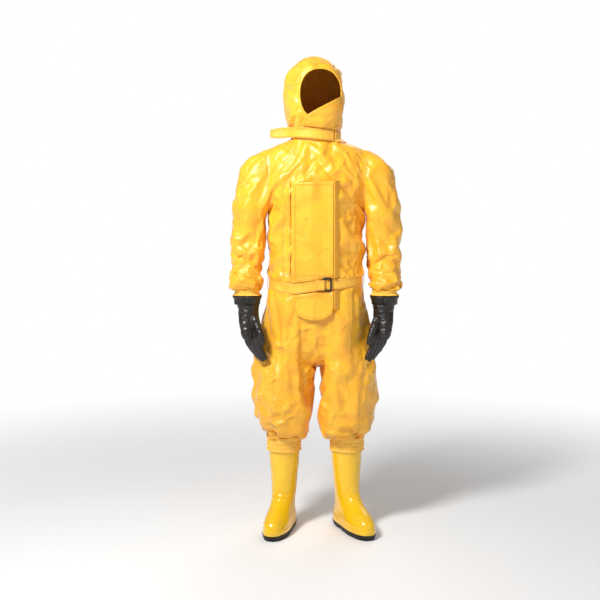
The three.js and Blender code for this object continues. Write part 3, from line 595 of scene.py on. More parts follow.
def seams_of(p):
    """Three sets of seams on the pattern, each a signed distance in metres that is 0 along the seam."""
    x, y, z = p.T
    wide, front = np.abs(x), y < MID_Y
    hood, chest = z > NECK_CUT, (z < NECK_CUT) & (z > FORK_Z)
    sleeve = (wide > PIT_X) & (z > CUFF_TOP - 0.01)
    first = near_line(np.abs(x - HOOD_X) - 0.054, hood)
    first = np.where(chest & ~sleeve, y - MID_Y, first)
    first = np.where(sleeve, y - MID_Y - 0.012, first)
    leg = ~sleeve & (z <= FORK_Z)
    first = np.where(leg, np.where(front, wide - 0.158, 1.0), first)
    second = near_line(z - NECK_CUT + 0.004, (z > NECK_CUT - 0.05) & (z < NECK_CUT + 0.05))
    second = np.where((z < NECK_CUT - 0.05) & (z > PIT_Z - 0.06), wide - PIT_X - 0.0005, second)
    second = np.where(leg & (wide < LEG_X), y - MID_Y, second)
    third = near_line(z - NECK_Z + 0.118, chest & ~front & (wide < PIT_X))
    third = np.where(chest & front & (z < BELT_Z), wide - 0.135, third)
    third = np.where(hood & front, face_field(p) * FACE_WIDE - 0.016, third)
    return first, second, third


def mark_seams(piece, first=None, second=None, third=None):
    """Keeps three signed distances to seams on the points. One that isn't given is 1, which is no seam."""
    for name, value in (("seam_a", first), ("seam_b", second), ("seam_c", third)):
        value = np.ones(len(piece.data.vertices)) if value is None else value
        piece.data.attributes.new(name, "FLOAT", "POINT").data.foreach_set(
            "value", np.ascontiguousarray(value, np.float32)
        )


def keep_pattern(piece, places):
    piece.data.attributes.new("cut", "FLOAT_VECTOR", "POINT").data.foreach_set(
        "vector", np.ascontiguousarray(places, np.float32).ravel()
    )


def cut_out(name):
    """The faces of one piece, with the whole cloth's normals and its places on the pattern."""
    mine = corners[part == piece_names.index(name)]
    used, faces = np.unique(mine, return_inverse=True)
    piece = add(name, fallen[used], faces.reshape(-1, 4))
    keep_pattern(piece, pattern[used])
    mark_seams(piece, *seams_of(pattern[used]))
    piece.data.shade_smooth()
    piece.data.normals_split_custom_set_from_vertices(normals[used].tolist())
    return piece


cloth = {name: cut_out(name) for name in piece_names if name != "waste"}
bpy.data.objects.remove(suit)
print({name: len(piece.data.polygons) for name, piece in cloth.items()})

# %% [markdown]
# ## Laying a piece on the cloth
# Flaps, straps and welts lie on the draped cloth, so their shape comes from it. Each point moves along its own
# direction until it is a given height outside the cloth near it. The height there is the mean of the cloth's
# points, each counted by how close it is.

# %% Lay points on the cloth, and make thin sewn pieces
def settle(points, ways, lift, spread=0.008, only_out=False):
    """Points moved along their ways to lift outside the cloth: the cloth's height at a point is the mean of its
    points' heights along the way, each with the weight exp(-(distance / spread)²)."""
    flat, way = points.reshape(-1, 3), np.broadcast_to(ways, points.shape).reshape(-1, 3)
    low, high = flat.min(0) - 0.07, flat.max(0) + 0.07
    near = fallen[((fallen > low) & (fallen < high)).all(1)]
    height = np.empty(len(flat))
    for start in range(0, len(flat), 400):
        p, n = flat[start : start + 400], way[start : start + 400]
        along = near @ n.T - (p * n).sum(1)
        square = ((near**2).sum(1)[:, None] - 2 * near @ p.T + (p**2).sum(1)) - along**2
        weight = np.exp(-square / spread**2 - (along < -0.09) * 50) * np.exp(along / 0.03)
        height[start : start + 400] = (weight * along).sum(0) / np.maximum(weight.sum(0), 1e-12)
    move = height.reshape(points.shape[:2]) + lift
    if only_out:
        move = np.maximum(move, 0)
    return points + move[..., None] * np.broadcast_to(ways, points.shape)


def thick(piece, amount):
    """Gives a sheet a back at this distance behind its face, and closes its edge."""
    return outwards(finish(piece, "SOLIDIFY", thickness=amount, offset=-1.0, use_even_offset=False))


def grid_between(low, high, rows, columns):
    """A grid between two edges, each a list of (x, z) from one side to the other. A point's place is the lower
    edge at its column, plus its row's share of the step to the upper edge."""
    share = np.linspace(0, 1, columns)
    edges = [
        np.stack([np.interp(share, np.linspace(0, 1, len(e)), np.array(e)[:, k]) for k in (0, 1)], -1)
        for e in (low, high)
    ]
    t = np.linspace(0, 1, rows)[:, None, None]
    return edges[0] * (1 - t) + edges[1] * t


def edge_distance(flat):
    """How far each point of a grid is from the grid's nearest edge, in metres: the least of its four lengths."""
    across = np.linalg.norm(np.diff(flat, axis=1), axis=-1)
    up = np.linalg.norm(np.diff(flat, axis=0), axis=-1)
    left = np.pad(np.cumsum(across, 1), ((0, 0), (1, 0)))
    low = np.pad(np.cumsum(up, 0), ((1, 0), (0, 0)))
    return np.minimum.reduce([left, left[:, -1:] - left, low, low[-1:] - low])


def hemmed(name, points, flat, hem=0.009, sheet=0.0012):
    """A sewn piece from a grid: its hem is marked as a seam at this distance from the edge."""
    piece = grid_piece(name, points)
    edge = edge_distance(flat).ravel()
    keep_pattern(piece, points.reshape(-1, 3))
    mark_seams(piece, edge - hem)
    thick(piece, sheet)
    piece.data.shade_smooth()
    return piece


print("sewing tools ready")

# %% [markdown]
# ## The front closure
# The storm flap is a long strip over the zipper. It is sewn to the chest along its left edge and closes with one
# snap, and the belt crosses it, so it is in two lengths. It lies on the chest and stands off it over the zipper.

# %% Storm flap, welts, snap and chest tuck
FRONT = np.array([0.0, -1.0, 0.0])
PIVOT_Y = FLAP[0, 1]  # the flap's front face, where its hinge line runs
SNAP_LINE = middle("zipper_pull")[0]
hinge_x = FLAP[1, 0]


def flap(name, low, high, rows):
    """A strip between two heights given across it. It stands off the chest by a height that rises from its free
    edge, stays level over the zipper and meets the hinge line, with slow waves along the free edge."""
    flat = grid_between(low, high, rows, 44)
    x, z = flat[..., 0], flat[..., 1]
    level_y = np.interp(
        x, [-0.092, -0.078, -0.055, -0.033, -0.022, -0.004, 0.020, 0.046, 0.056, hinge_x],
        [2.0, 3.4, 6.5, 11.0, 12.9, 12.9, 10.6, 10.8, 13.0, 15.5],
    )  # fmt: skip
    pull = np.exp(-(((x - SNAP_LINE) / 0.014) ** 2)) * soft_step(z, 1.258, 1.276)
    level_y = (level_y + 3.4 * pull) / 1000
    level_y *= 0.45 + 0.55 * soft_step(np.abs(z - BELT_Z), 0.020, 0.042)
    free = 1 - soft_step(x, -0.090, -0.030)
    start = np.stack([x, np.full_like(x, CHEST_Y - 0.004), z], -1)
    on_cloth = settle(start, FRONT, 0.0022, 0.012)[..., 1]
    wave = ripple(np.stack([x, 0 * x, z], -1), 4, 0.11)
    creases = crumple(start.reshape(-1, 3), 9, 0.06).reshape(x.shape)
    wanted = CHEST_Y - level_y + 0.0016 * wave * (0.3 + free) + 0.0009 * creases
    edge = edge_distance(flat)
    y = np.minimum(on_cloth, wanted) - 0.0006 * (1 - soft_step(edge, 0.007, 0.010))
    y = np.maximum(y, PIVOT_Y - 0.004 - 0.004 * free)
    return hemmed(name, np.stack([x, y, z], -1), flat)


def belt_edge(x, side, gap=0.0025):
    return float(belt_height(x)) + side * (0.0195 + gap)


left, right = FLAP[0, 0], hinge_x
across = np.linspace(left + 0.002, right, 12)
flap_upper = flap(
    "storm_flap_cloth_upper",
    [(x, belt_edge(x, 1)) for x in across],
    [(x, FLAP[1, 2] - 0.004 * (x - right) / (left - right)) for x in across],
    130,
)
ends = [(left + 0.002, 0.875), (-0.072, 0.842), (-0.045, 0.828), (-0.010, 0.822)]
ends += [(0.030, 0.826), (0.056, 0.845), (right, 0.872)]
flap_lower = flap("storm_flap_cloth_lower", ends, [(x, belt_edge(x, -1)) for x in across], 48)


def welt(name, low, high):
    """The strip that joins the flap to the chest: a profile from the chest up to the hinge line and down again,
    carried from one height to the other."""
    rows = max(12, int((high - low) / 0.006))
    z = np.linspace(low, high, rows)[:, None]
    out = np.array([-0.002, 0.006, 0.0135, 0.0168, 0.0166, 0.0125, 0.0065, 0.0022, 0.0012, -0.002])
    aside = np.array([0.0, 0.0006, 0.0009, 0.0016, 0.0034, 0.0068, 0.0108, 0.0160, 0.0230, 0.0235])
    x = hinge_x + 0.0012 + aside + 0 * z
    base = settle(np.stack([x, np.full_like(x, CHEST_Y), z + 0 * x], -1), FRONT, 0.0, 0.012)[..., 1]
    base = base * (aside / aside.max()) ** 2 + CHEST_Y * (1 - (aside / aside.max()) ** 2)
    points = np.stack([x, base - out - 0.0003 * ripple(np.stack([x, 0 * x, z + 0 * x], -1), 2, 0.02), z + 0 * x], -1)
    piece = grid_piece(name, points, closed=True, caps=True)
    keep_pattern(piece, points.reshape(-1, 3))
    seam = (np.abs(aside - 0.0145) * np.sign(aside - 0.0145) + 0 * z).ravel()
    mark_seams(piece, seam)
    outwards(piece).data.shade_smooth()
    return piece


welts = [
    welt("flap_welt_cloth_upper", belt_edge(right, 1) + 0.001, FLAP[1, 2] + 0.004),
    welt("flap_welt_cloth_lower", 0.862, belt_edge(right, -1) - 0.001),
]


def turned_disc(name, centre, profile, columns=40):
    """A round piece from a profile (radius, height towards the front), turned about a line along y."""
    radius, high = np.array(profile).T
    angle = np.linspace(0, 2 * np.pi, columns, endpoint=False)
    points = np.stack(
        [
            centre[0] + radius[:, None] * np.cos(angle),
            centre[1] - high[:, None] + 0 * angle,
            centre[2] + radius[:, None] * np.sin(angle),
        ],
        -1,
    )
    piece = outwards(grid_piece(name, points, closed=True, caps=True))
    piece.data.shade_smooth()
    return piece


SNAP = middle("snap_cap")
flap_points = points_of(flap_upper)
close = np.linalg.norm(flap_points[:, [0, 2]] - SNAP[[0, 2]], axis=1) < 0.008
snap = turned_disc(
    "snap_button",
    (SNAP[0], flap_points[close, 1].min(), SNAP[2]),
    [(0.0002, -0.001), (0.0075, -0.001), (0.0078, 0.0004), (0.0072, 0.0012), (0.0058, 0.0013), (0.0052, 0.0009),
     (0.0046, 0.0014), (0.0030, 0.0018), (0.0002, 0.0019)],
)  # fmt: skip

tuck_x = box("chest_pleat")
tuck_low = [(tuck_x[0, 0] - 0.001, 0.985), (tuck_x[1, 0], 0.982)]
tuck_high = [(tuck_x[0, 0] - 0.001, FLAP[1, 2]), (tuck_x[1, 0], FLAP[1, 2] + 0.004)]
flat = grid_between(tuck_low, tuck_high, 110, 12)
across = (flat[..., 0] - flat[..., 0].min()) / np.ptp(flat[..., 0])
start = np.stack([flat[..., 0], np.full_like(across, CHEST_Y), flat[..., 1]], -1)
tuck = hemmed("chest_tuck", settle(start, FRONT, 0.0012 + 0.0012 * across**2, 0.010), flat, hem=0.004)
print("front closure", [p.name for p in (flap_upper, flap_lower, *welts, snap, tuck)])

# %% [markdown]
# ## The hood's opening, the chin flap and the neck strap
# The hood's edge is turned over and sewn, which makes a soft roll round the face. The chin flap is sewn to the
# hood's left side and crosses the lower part of the opening. The strap goes round the neck from the left and its
# loose end sticks out to the right.

# %% Face hem, chin flap, neck strap and its patch
def outward(points, centre):
    """Unit vectors that point away from an upright line through the centre (x, y)."""
    way = points - np.array([centre[0], centre[1], 0])
    way[..., 2] = 0
    return way / np.maximum(np.linalg.norm(way, axis=-1, keepdims=True), 1e-9)


def roll_round(name, line, ways, radius, squash=0.6, columns=14):
    """A soft roll along a closed line: a circle of the given radius at each point, flattened across its way."""
    along = np.roll(line, -1, 0) - np.roll(line, 1, 0)
    along /= np.linalg.norm(along, axis=1)[:, None]
    side = np.cross(along, ways)
    side /= np.linalg.norm(side, axis=1)[:, None]
    angle = np.linspace(0, 2 * np.pi, columns, endpoint=False)
    size = radius[:, None, None]
    points = line[:, None] + size * (
        side[:, None] * np.cos(angle)[None, :, None] + squash * ways[:, None] * np.sin(angle)[None, :, None]
    )
    piece = outwards(add(name, points, loop_quads(*points.shape[:2])))
    piece.data.shade_smooth()
    return piece


angle = np.linspace(0, 2 * np.pi, 260, endpoint=False)
power = 2 / 2.3
oval = np.stack(
    [
        FACE[0] + FACE_WIDE * boxy(np.cos(angle), power),
        np.full_like(angle, MID_Y - 0.11),
        FACE[1] + FACE_HIGH * boxy(np.sin(angle), power),
    ],
    -1,
)
HOOD_MID = (HOOD_X, MID_Y + 0.006)
hem_line = settle(oval[:, None], FRONT, 0.0006, 0.010)
hem_line = settle(hem_line, outward(hem_line, HOOD_MID), 0.0006, 0.009)[:, 0]
gather = 0.0034 + 0.0005 * np.sin(angle * 62) + 0.0004 * ripple(oval, 6, 0.05)
face_hem = roll_round("face_hem", hem_line, outward(hem_line, HOOD_MID), gather)

CHIN = box("chin_flap")
chin_low = [(CHIN[0, 0], 1.541), (-0.028, 1.535), (0.020, 1.531), (0.070, 1.531), (0.090, 1.548), (0.1005, 1.575)]
chin_high = [(CHIN[0, 0] + 0.003, 1.549), (-0.031, 1.578), (0.018, 1.605)]
chin_high += [(0.058, 1.627), (0.082, 1.640), (0.0985, 1.649)]
flat = grid_between(chin_low, chin_high, 46, 64)
x, z = flat[..., 0], flat[..., 1]
reach = np.clip((x - HOOD_X) / 0.116, -1, 1)
start = np.stack([x, MID_Y + 0.006 - 0.121 * (1 - np.abs(reach) ** 2.3) ** (1 / 2.3), z], -1)
edge = edge_distance(flat)
fold = 0.0012 * np.exp(-(((start[..., 2] - 1.560 - 0.45 * x) / 0.012) ** 2)) + 0.0006 * ripple(start, 12, 0.05)
low_edge = 0.0045 * (1 - soft_step(start[..., 2], 1.545, 1.575))
on_hood = settle(start, outward(start, HOOD_MID), 0.0042 + fold + low_edge, 0.009)
chin = hemmed("chin_flap_cloth", on_hood, flat, hem=0.008)

STRAP = box("neck_strap")
strap_mid = STRAP[:, 2].mean()
turn = np.radians(np.linspace(-44, -147, 60))
band_line = np.stack([HOOD_X + 0.101 * np.cos(turn), MID_Y + 0.002 + 0.0945 * np.sin(turn)], -1)
tail_line = smooth([band_line[-1], [-0.112, 0.0075], [-0.140, 0.0200], [-0.172, 0.0262]], 26)[1:]
line = np.concatenate([band_line, tail_line])
run = np.concatenate([[0], np.cumsum(np.linalg.norm(np.diff(line, axis=0), axis=1))])
is_tail = soft_step(run, run[58], run[58] + 0.03)
across = np.linspace(-1, 1, 12)
width = 0.0195 - 0.0045 * soft_step(run, run[-1] - 0.03, run[-1])
lean = np.interp(line[:, 0], [-0.172, -0.105, -0.05, 0.07], [0.008, 0.011, 0.008, -0.005])
height = strap_mid + lean[:, None] + width[:, None] * across
points = np.stack([line[:, :1] + 0 * height, line[:, 1:] + 0 * height, height], -1)
out = outward(points, HOOD_MID)
snug = settle(points, out, 0.0035, 0.009, only_out=True)
points = points + (snug - points) * (1 - is_tail)[:, None, None]
points[..., 1] += 0.0010 * ripple(points, 15, 0.06) * is_tail[:, None]
flat = np.stack([run[:, None] + 0 * height, height], -1)
strap = hemmed("neck_strap_cloth", points, flat, hem=0.004, sheet=0.0018)

patch_turn = np.radians(np.linspace(-42.5, -18, 18))
patch_z = strap_mid - 0.006 + np.linspace(-1, 1, 16)[None] * 0.021
patch_x = HOOD_X + 0.1015 * np.cos(patch_turn)[:, None] + 0 * patch_z
patch_y = MID_Y + 0.002 + 0.095 * np.sin(patch_turn)[:, None] + 0 * patch_z
points = np.stack([patch_x, patch_y, patch_z + 0 * patch_x], -1)
points = settle(points, outward(points, HOOD_MID), 0.0030, 0.009, only_out=True)
flat = np.stack([0.04 * np.linspace(0, 1, 18)[:, None] + 0 * patch_z, patch_z + 0 * patch_x], -1)
patch = hemmed("strap_patch_cloth", points, flat, hem=0.004, sheet=0.0018)
print("hood pieces", [p.name for p in (face_hem, chin, strap, patch)])

# %% [markdown]
# ## The belt
# The belt is a closed band round the waist. It follows a flattened oval, like the waist under it, and hangs
# lower on one side. Its buckle is a rod frame that swings on the bar that the belt is folded round.

# %% Belt, its fold, the loops and the buckle
BUCKLE = box("belt_buckle")
BAR_X = BUCKLE[0, 0] + 0.0028


def waist_line(count, out):
    """Points round the waist: the superellipse |x/a|^2.6 + |y/b|^2.6 = 1, with equal steps of angle."""
    angle = np.linspace(0, 2 * np.pi, count, endpoint=False)
    cos, sin = np.cos(angle), np.sin(angle)
    x = (WAIST + out) * boxy(cos, 2 / 2.6)
    y = MID_Y + (DEPTH - 0.002 + out) * boxy(sin, 2 / 2.6)
    return np.stack([x, y], -1)


BELT_OUT = 0.0052  # how far the middle of the belt lies outside the waist
line = waist_line(400, BELT_OUT)
section = [[-1, -0.3], [-0.99, 0.2], [-0.9, 0.55], [-0.6, 0.7], [0, 0.75], [0.6, 0.7]]
section += [[0.9, 0.55], [0.99, 0.2], [1, -0.3], [0.97, -0.9], [0, -1], [-0.97, -0.9]]
section = np.array(section)
away = outward(np.stack([line[:, 0], line[:, 1], 0 * line[:, 0]], -1), (0, MID_Y))
mid_z = belt_height(line[:, 0], behind(line))
wavy = 0.0006 * ripple(np.stack([line[:, 0], line[:, 1], mid_z], -1), 21, 0.07)
over_flap = 0.0028 * soft_step(line[:, 0], -0.120, -0.088) * (1 - soft_step(line[:, 0], 0.060, 0.100))
over_flap = over_flap * (line[:, 1] < MID_Y)
out = section[:, 1] * 0.0013 + (wavy + over_flap)[:, None]
points = np.stack(
    [
        line[:, :1] + away[:, :1] * out,
        line[:, 1:] + away[:, 1:2] * out,
        mid_z[:, None] + section[:, 0] * 0.0192,
    ],
    -1,
)
belt = outwards(add("belt_band", points, loop_quads(*points.shape[:2])))
flat_place = np.broadcast_to(0.0192 * np.abs(section[:, 0]), points.shape[:2]).ravel()
keep_pattern(belt, points.reshape(-1, 3))
mark_seams(belt, flat_place - 0.0150)
belt.data.shade_smooth()
bar_y = BUCKLE[:, 1].mean()
turn = np.radians(np.linspace(-90, 90, 14))
lap = [(BAR_X - 0.030 + 0.002 * k, bar_y - 0.0046) for k in range(15)]
round_bar = [(BAR_X + 0.0046 * math.cos(a), bar_y + 0.0046 * math.sin(a)) for a in turn]
under = [(BAR_X - 0.003 * k, bar_y + 0.0046 - 0.0002 * k) for k in range(1, 8)]
fold_line = np.array(lap + round_bar + under)
height = BELT_Z - 0.003 + np.linspace(-1, 1, 10)[None] * 0.0185
points_fold = np.stack(np.broadcast_arrays(fold_line[:, :1], fold_line[:, 1:], height), -1)
run = np.concatenate([[0], np.cumsum(np.linalg.norm(np.diff(fold_line, axis=0), axis=1))])
flat_fold = np.stack(np.broadcast_arrays(run[:, None], height), -1)
belt_fold = hemmed("belt_end_fold", points_fold, flat_fold, 0.004)


def rod_frame(name, half_wide, half_high, corner, thick_x, thick_y, centre):
    """A rounded rectangular frame: a rounded bar section carried round a superellipse-cornered path."""
    quarter = np.linspace(0, np.pi / 2, 9)
    path = []
    for k, (sx, sz) in enumerate([(1, 1), (-1, 1), (-1, -1), (1, -1)]):
        a = quarter + k * np.pi / 2
        path += list(
            np.stack(
                [sx * (half_wide - corner) + corner * np.cos(a), sz * (half_high - corner) + corner * np.sin(a)], -1
            )
        )
    path = np.array(path)
    step = np.roll(path, -1, 0) - np.roll(path, 1, 0)
    side = np.stack([step[:, 1], -step[:, 0]], -1) / np.linalg.norm(step, axis=1)[:, None]
    a = np.linspace(0, 2 * np.pi, 16, endpoint=False)
    u, v = thick_x * boxy(np.cos(a), 0.7), thick_y * boxy(np.sin(a), 0.7)
    grid = np.stack(
        [centre[0] + path[:, :1] + side[:, :1] * u, centre[1] + v + 0 * path[:, :1],
         centre[2] + path[:, 1:] + side[:, 1:] * u], -1)  # fmt: skip
    piece = outwards(add(name, grid, loop_quads(*grid.shape[:2])))
    piece.data.shade_smooth()
    return piece


buckle_mid = (BUCKLE[:, 0].mean(), bar_y, BUCKLE[:, 2].mean())
half_wide, _, half_high = np.ptp(BUCKLE, axis=0) / 2 - 0.0036
buckle = rod_frame("buckle_frame", half_wide, half_high, 0.004, 0.0036, 0.0028, buckle_mid)


def loop_over_belt(name, at):
    """A sewn loop that stands over the belt: it lies on the cloth above and below and bulges out over it."""
    t = np.linspace(-1, 1, 44)
    u = np.linspace(-1, 1, 7)
    way = outward(np.array([[at[0], at[1], 0.0]]), (0, MID_Y))[0]
    side = np.array([-way[1], way[0], 0])
    z = at[2] + 0.031 * t
    start = np.array([at[0], at[1], 0])[None, None] + side * u[None, :, None] * 0.0065
    start = start + np.array([0, 0, 1]) * z[:, None, None]
    bulge = 0.0038 * (1 - soft_step(np.abs(t), 0.62, 0.80))
    round_waist = waist_line(400, BELT_OUT)
    near = np.argmin(np.linalg.norm(round_waist - np.array(at[:2]), axis=1))
    base = np.array([*round_waist[near], 0])
    start = start - np.array([at[0], at[1], 0]) + base
    grid = start + way * (bulge + 0.0010)[:, None, None]
    flat = np.stack([0.0065 * u[None] + 0 * z[:, None], z[:, None] + 0 * u[None]], -1)
    lying = settle(grid, np.broadcast_to(way, grid.shape), 0.0016, 0.010, only_out=True)
    lying = grid + way * np.clip(((lying - grid) * way).sum(-1), 0, 0.0012)[..., None]
    return hemmed(name, lying, flat, hem=0.0025, sheet=0.0012)


loops = []
for word in ("right", "left", "back"):
    at = middle("belt_loop_" + word)
    at[2] = belt_height(at[0], float(at[1] > MID_Y + 0.05))
    loops.append(loop_over_belt("belt_loop_cloth_" + word, at))
print("belt pieces", [p.name for p in (belt, belt_fold, buckle, *loops)])

# %% [markdown]
# ## Gathered ends
# An elastic gathers the cloth at each wrist and above each boot. A gathered end is a ring whose radius goes up
# and down in small pleats, and the pleats are deepest between the rows of elastic.

# %% Cuffs and leg bands
def gathered(name, centre, rows, pleats, seed, wall=0.0012):
    """A gathered band. Each row is (height, half width, half depth, pleat depth), and the radius at the angle a
    is multiplied by 1 + depth times a sine of pleats times a, whose phase wanders slowly."""
    rows = smooth(rows, 46)
    angle = np.linspace(0, 2 * np.pi, 360, endpoint=False)
    circle = np.stack([np.cos(angle), np.sin(angle), 0 * angle], -1)
    wander = 1.1 * ripple(circle, seed, 0.9)
    z = rows[:, :1]
    pleat = np.sin(angle * pleats + wander + 0.6 * np.sin(z * 160)) * (0.75 + 0.25 * ripple(circle, seed + 1, 0.4))
    grow = rows[:, 3:] * pleat
    x = centre[0] + (rows[:, 1:2] + grow) * np.cos(angle)
    y = centre[1] + (rows[:, 2:3] + grow) * np.sin(angle)
    piece = grid_piece(name, np.stack([x, y, z + 0 * x], -1), closed=True)
    keep_pattern(piece, np.stack([x, y, z + 0 * x], -1).reshape(-1, 3))
    mark_seams(piece)
    thick(outwards(piece), wall)
    piece.data.shade_smooth()
    return piece


cuffs, bands = {}, {}
for word, side in SIDES.items():
    low, high = box("cuff_elastic_" + word)[:, 2]
    x = side * ARM_X
    cuffs[word] = gathered(
        "wrist_gather_" + word,
        (x, MID_Y - 0.038),
        [
            (low - 0.0015, 0.0535, 0.0515, 0.0030),
            (low + 0.0015, 0.0505, 0.0485, 0.0024),
            (low + 0.0045, 0.0462, 0.0442, 0.0010),
            (low + 0.0080, 0.0455, 0.0435, 0.0007),
            (high - 0.001, 0.0468, 0.0448, 0.0012),
            (high + 0.004, 0.0480, 0.0460, 0.0010),
        ],
        34,
        31,
    )
    low, high = box("boot_band_" + word)[:, 2]
    x = side * (LEG_X + 0.0068)
    bands[word] = gathered(
        "leg_gather_" + word,
        (x, MID_Y + 0.002),
        [
            (low + 0.001, 0.0668, 0.0680, 0.0016),
            (low + 0.005, 0.0660, 0.0672, 0.0012),
            (low + 0.010, 0.0645, 0.0657, 0.0008),
            (low + 0.017, 0.0658, 0.0670, 0.0019),
            (low + 0.024, 0.0645, 0.0657, 0.0008),
            (low + 0.031, 0.0658, 0.0670, 0.0019),
            (low + 0.038, 0.0645, 0.0657, 0.0008),
            (high - 0.002, 0.0662, 0.0676, 0.0018),
            (high + 0.006, 0.0680, 0.0694, 0.0014),
        ],
        58,
        41,
    )
print("gathered ends ready")

# %% [markdown]
# ## Gloves
# A glove is a palm, four fingers and a thumb as stacks of rings that follow each finger. A fine voxel remesh joins
# them, and a smoothing pass rounds the webs between the fingers. The open top is pressed in like a cup, with the
# moulded bead left standing round it.

# %% Rubber gloves
GLOVE_TOP, WRIST_Z = box("glove_gauntlet_left")[1, 2], box("glove_gauntlet_left")[0, 2]
KNUCKLE_Z, TURN = WRIST_Z - 0.084, 0.8


# A finger's radius at each share of its length, from inside the palm to the tip.
FINGER = [(-0.12, 0.0122), (0.12, 0.0124), (0.34, 0.0119), (0.42, 0.0123), (0.66, 0.0108)]
FINGER += [(0.74, 0.0110), (0.93, 0.0085), (0.985, 0.0052), (1.0, 0.0018)]


def glove(word):
    side = SIDES[word]

    def at(inset, y, z, wide, deep, square=2.0, turn=0.0):
        return ring(side * (ARM_X - inset), y, z, wide, deep, square, -side * turn)

    palm = [
        at(0.021, -0.073, KNUCKLE_Z - 0.016, 0.018, 0.040, 2.6, TURN),
        at(0.020, -0.072, KNUCKLE_Z - 0.008, 0.022, 0.043, 2.8, TURN),
        at(0.017, -0.071, KNUCKLE_Z + 0.006, 0.0255, 0.045, 2.6, TURN),
        at(0.010, -0.062, WRIST_Z - 0.040, 0.0285, 0.044, 2.4, TURN),
        at(0.005, -0.052, WRIST_Z, 0.036, 0.039, 2.1, TURN),
        at(0.003, -0.045, GLOVE_TOP - 0.036, 0.042, 0.041, 2.1),
        at(0.001, -0.041, GLOVE_TOP - 0.020, 0.0495, 0.0475, 2.1),
        at(0, -0.040, GLOVE_TOP - 0.010, 0.0525, 0.0505, 2.1),
        at(0, -0.040, GLOVE_TOP - 0.0065, 0.0552, 0.0532, 2.1),
        at(0, -0.040, GLOVE_TOP - 0.0025, 0.0560, 0.0540, 2.1),
        at(0, -0.040, GLOVE_TOP, 0.0545, 0.0525, 2.1),
    ]
    tubes = [outwards(grid_piece("glove_part", stack(palm, 90, 56), closed=True, caps=True))]
    for index in range(4):
        aside = (index - 1.5) * 0.0212
        length = 0.092 + (-0.014, 0.002, 0.008, 0.000)[index]
        rings = []
        for t, radius in FINGER:
            curl = 0.018 + 0.008 * t + 0.030 * t * t
            spread = aside * (1 - 0.15 * t)
            inset, y = curl + spread * math.sin(TURN), -0.071 - 0.016 * t - spread * math.cos(TURN)
            rings.append(at(inset, y, KNUCKLE_Z - length * t, radius, radius * 0.96))
        rings = stack(rings[::-1], 50, 20, follow=True)
        tubes.append(outwards(grid_piece("glove_part", rings, closed=True, caps=True)))
    thumb = [at(0.063, -0.112, WRIST_Z - 0.1195, 0.002, 0.002), at(0.063, -0.1125, WRIST_Z - 0.117, 0.0075, 0.0075),
             at(0.061, -0.1125, WRIST_Z - 0.107, 0.0112, 0.0112), at(0.055, -0.108, WRIST_Z - 0.086, 0.0128, 0.0128),
             at(0.046, -0.100, WRIST_Z - 0.062, 0.0140, 0.0140), at(0.036, -0.088, WRIST_Z - 0.040, 0.0160, 0.0160),
             at(0.026, -0.076, WRIST_Z - 0.020, 0.0170, 0.0170)]  # fmt: skip
    tubes.append(outwards(grid_piece("glove_part", stack(thumb, 50, 22, follow=True), closed=True, caps=True)))
    piece = finish(joined(tubes, "rubber_glove_" + word), "REMESH", mode="VOXEL", voxel_size=0.0026)
    finish(piece, "SMOOTH", factor=0.5, iterations=5)
    points = points_of(piece)
    centre = np.array([side * ARM_X, MID_Y - 0.040])
    from_middle = np.linalg.norm(points[:, :2] - centre, axis=1)
    cup = soft_step(points[:, 2], GLOVE_TOP - 0.010, GLOVE_TOP - 0.004) * (1 - soft_step(from_middle, 0.0490, 0.0515))
    way = normals_of(piece)
    soft = soft_step(points[:, 2], KNUCKLE_Z - 0.01, KNUCKLE_Z + 0.03)
    soft = soft * (1 - soft_step(points[:, 2], GLOVE_TOP - 0.03, GLOVE_TOP - 0.014))
    stretched = points * np.array([0.6, 0.6, 1.7])
    crease = 1 - 2 * np.abs(ripple(stretched, 51 + side, 0.040))
    points = points + way * (0.0009 * crease * soft + 0.0004 * ripple(points, 55, 0.02) * (1 - cup))[:, None]
    points[:, 2] -= 0.034 * cup
    move_points(piece, points)
    piece.data.shade_smooth()
    return piece


gloves = {word: glove(word) for word in SIDES}
print("gloves", {w: len(g.data.polygons) for w, g in gloves.items()})

# %% [markdown]
# ## Boots
# A boot is a stack of level sections. They are long over the foot and round up the shaft, and each has a place
# ahead of the shaft. Moulded lines are small steps in the sections' size. The toes turn outwards, so each boot is
# made facing forwards and then turned.

# %% Rubber boots and their soles
SOLE_TOP, BOOT_TOP = box("boot_sole_left")[1, 2], box("boot_left")[1, 2]
FOOT_Y, AXIS_X = -0.062, LEG_X + 0.006


def turned(points, word):
    """Moves a boot made at the origin to its leg and turns its toe outwards."""
    side = SIDES[word]
    angle = side * math.radians({"right": 14, "left": 23}[word])
    cos, sin = math.cos(angle), math.sin(angle)
    x, y, z = points[..., 0], points[..., 1], points[..., 2]
    return np.stack([side * AXIS_X + x * cos - y * sin, MID_Y + x * sin + y * cos, z], -1)


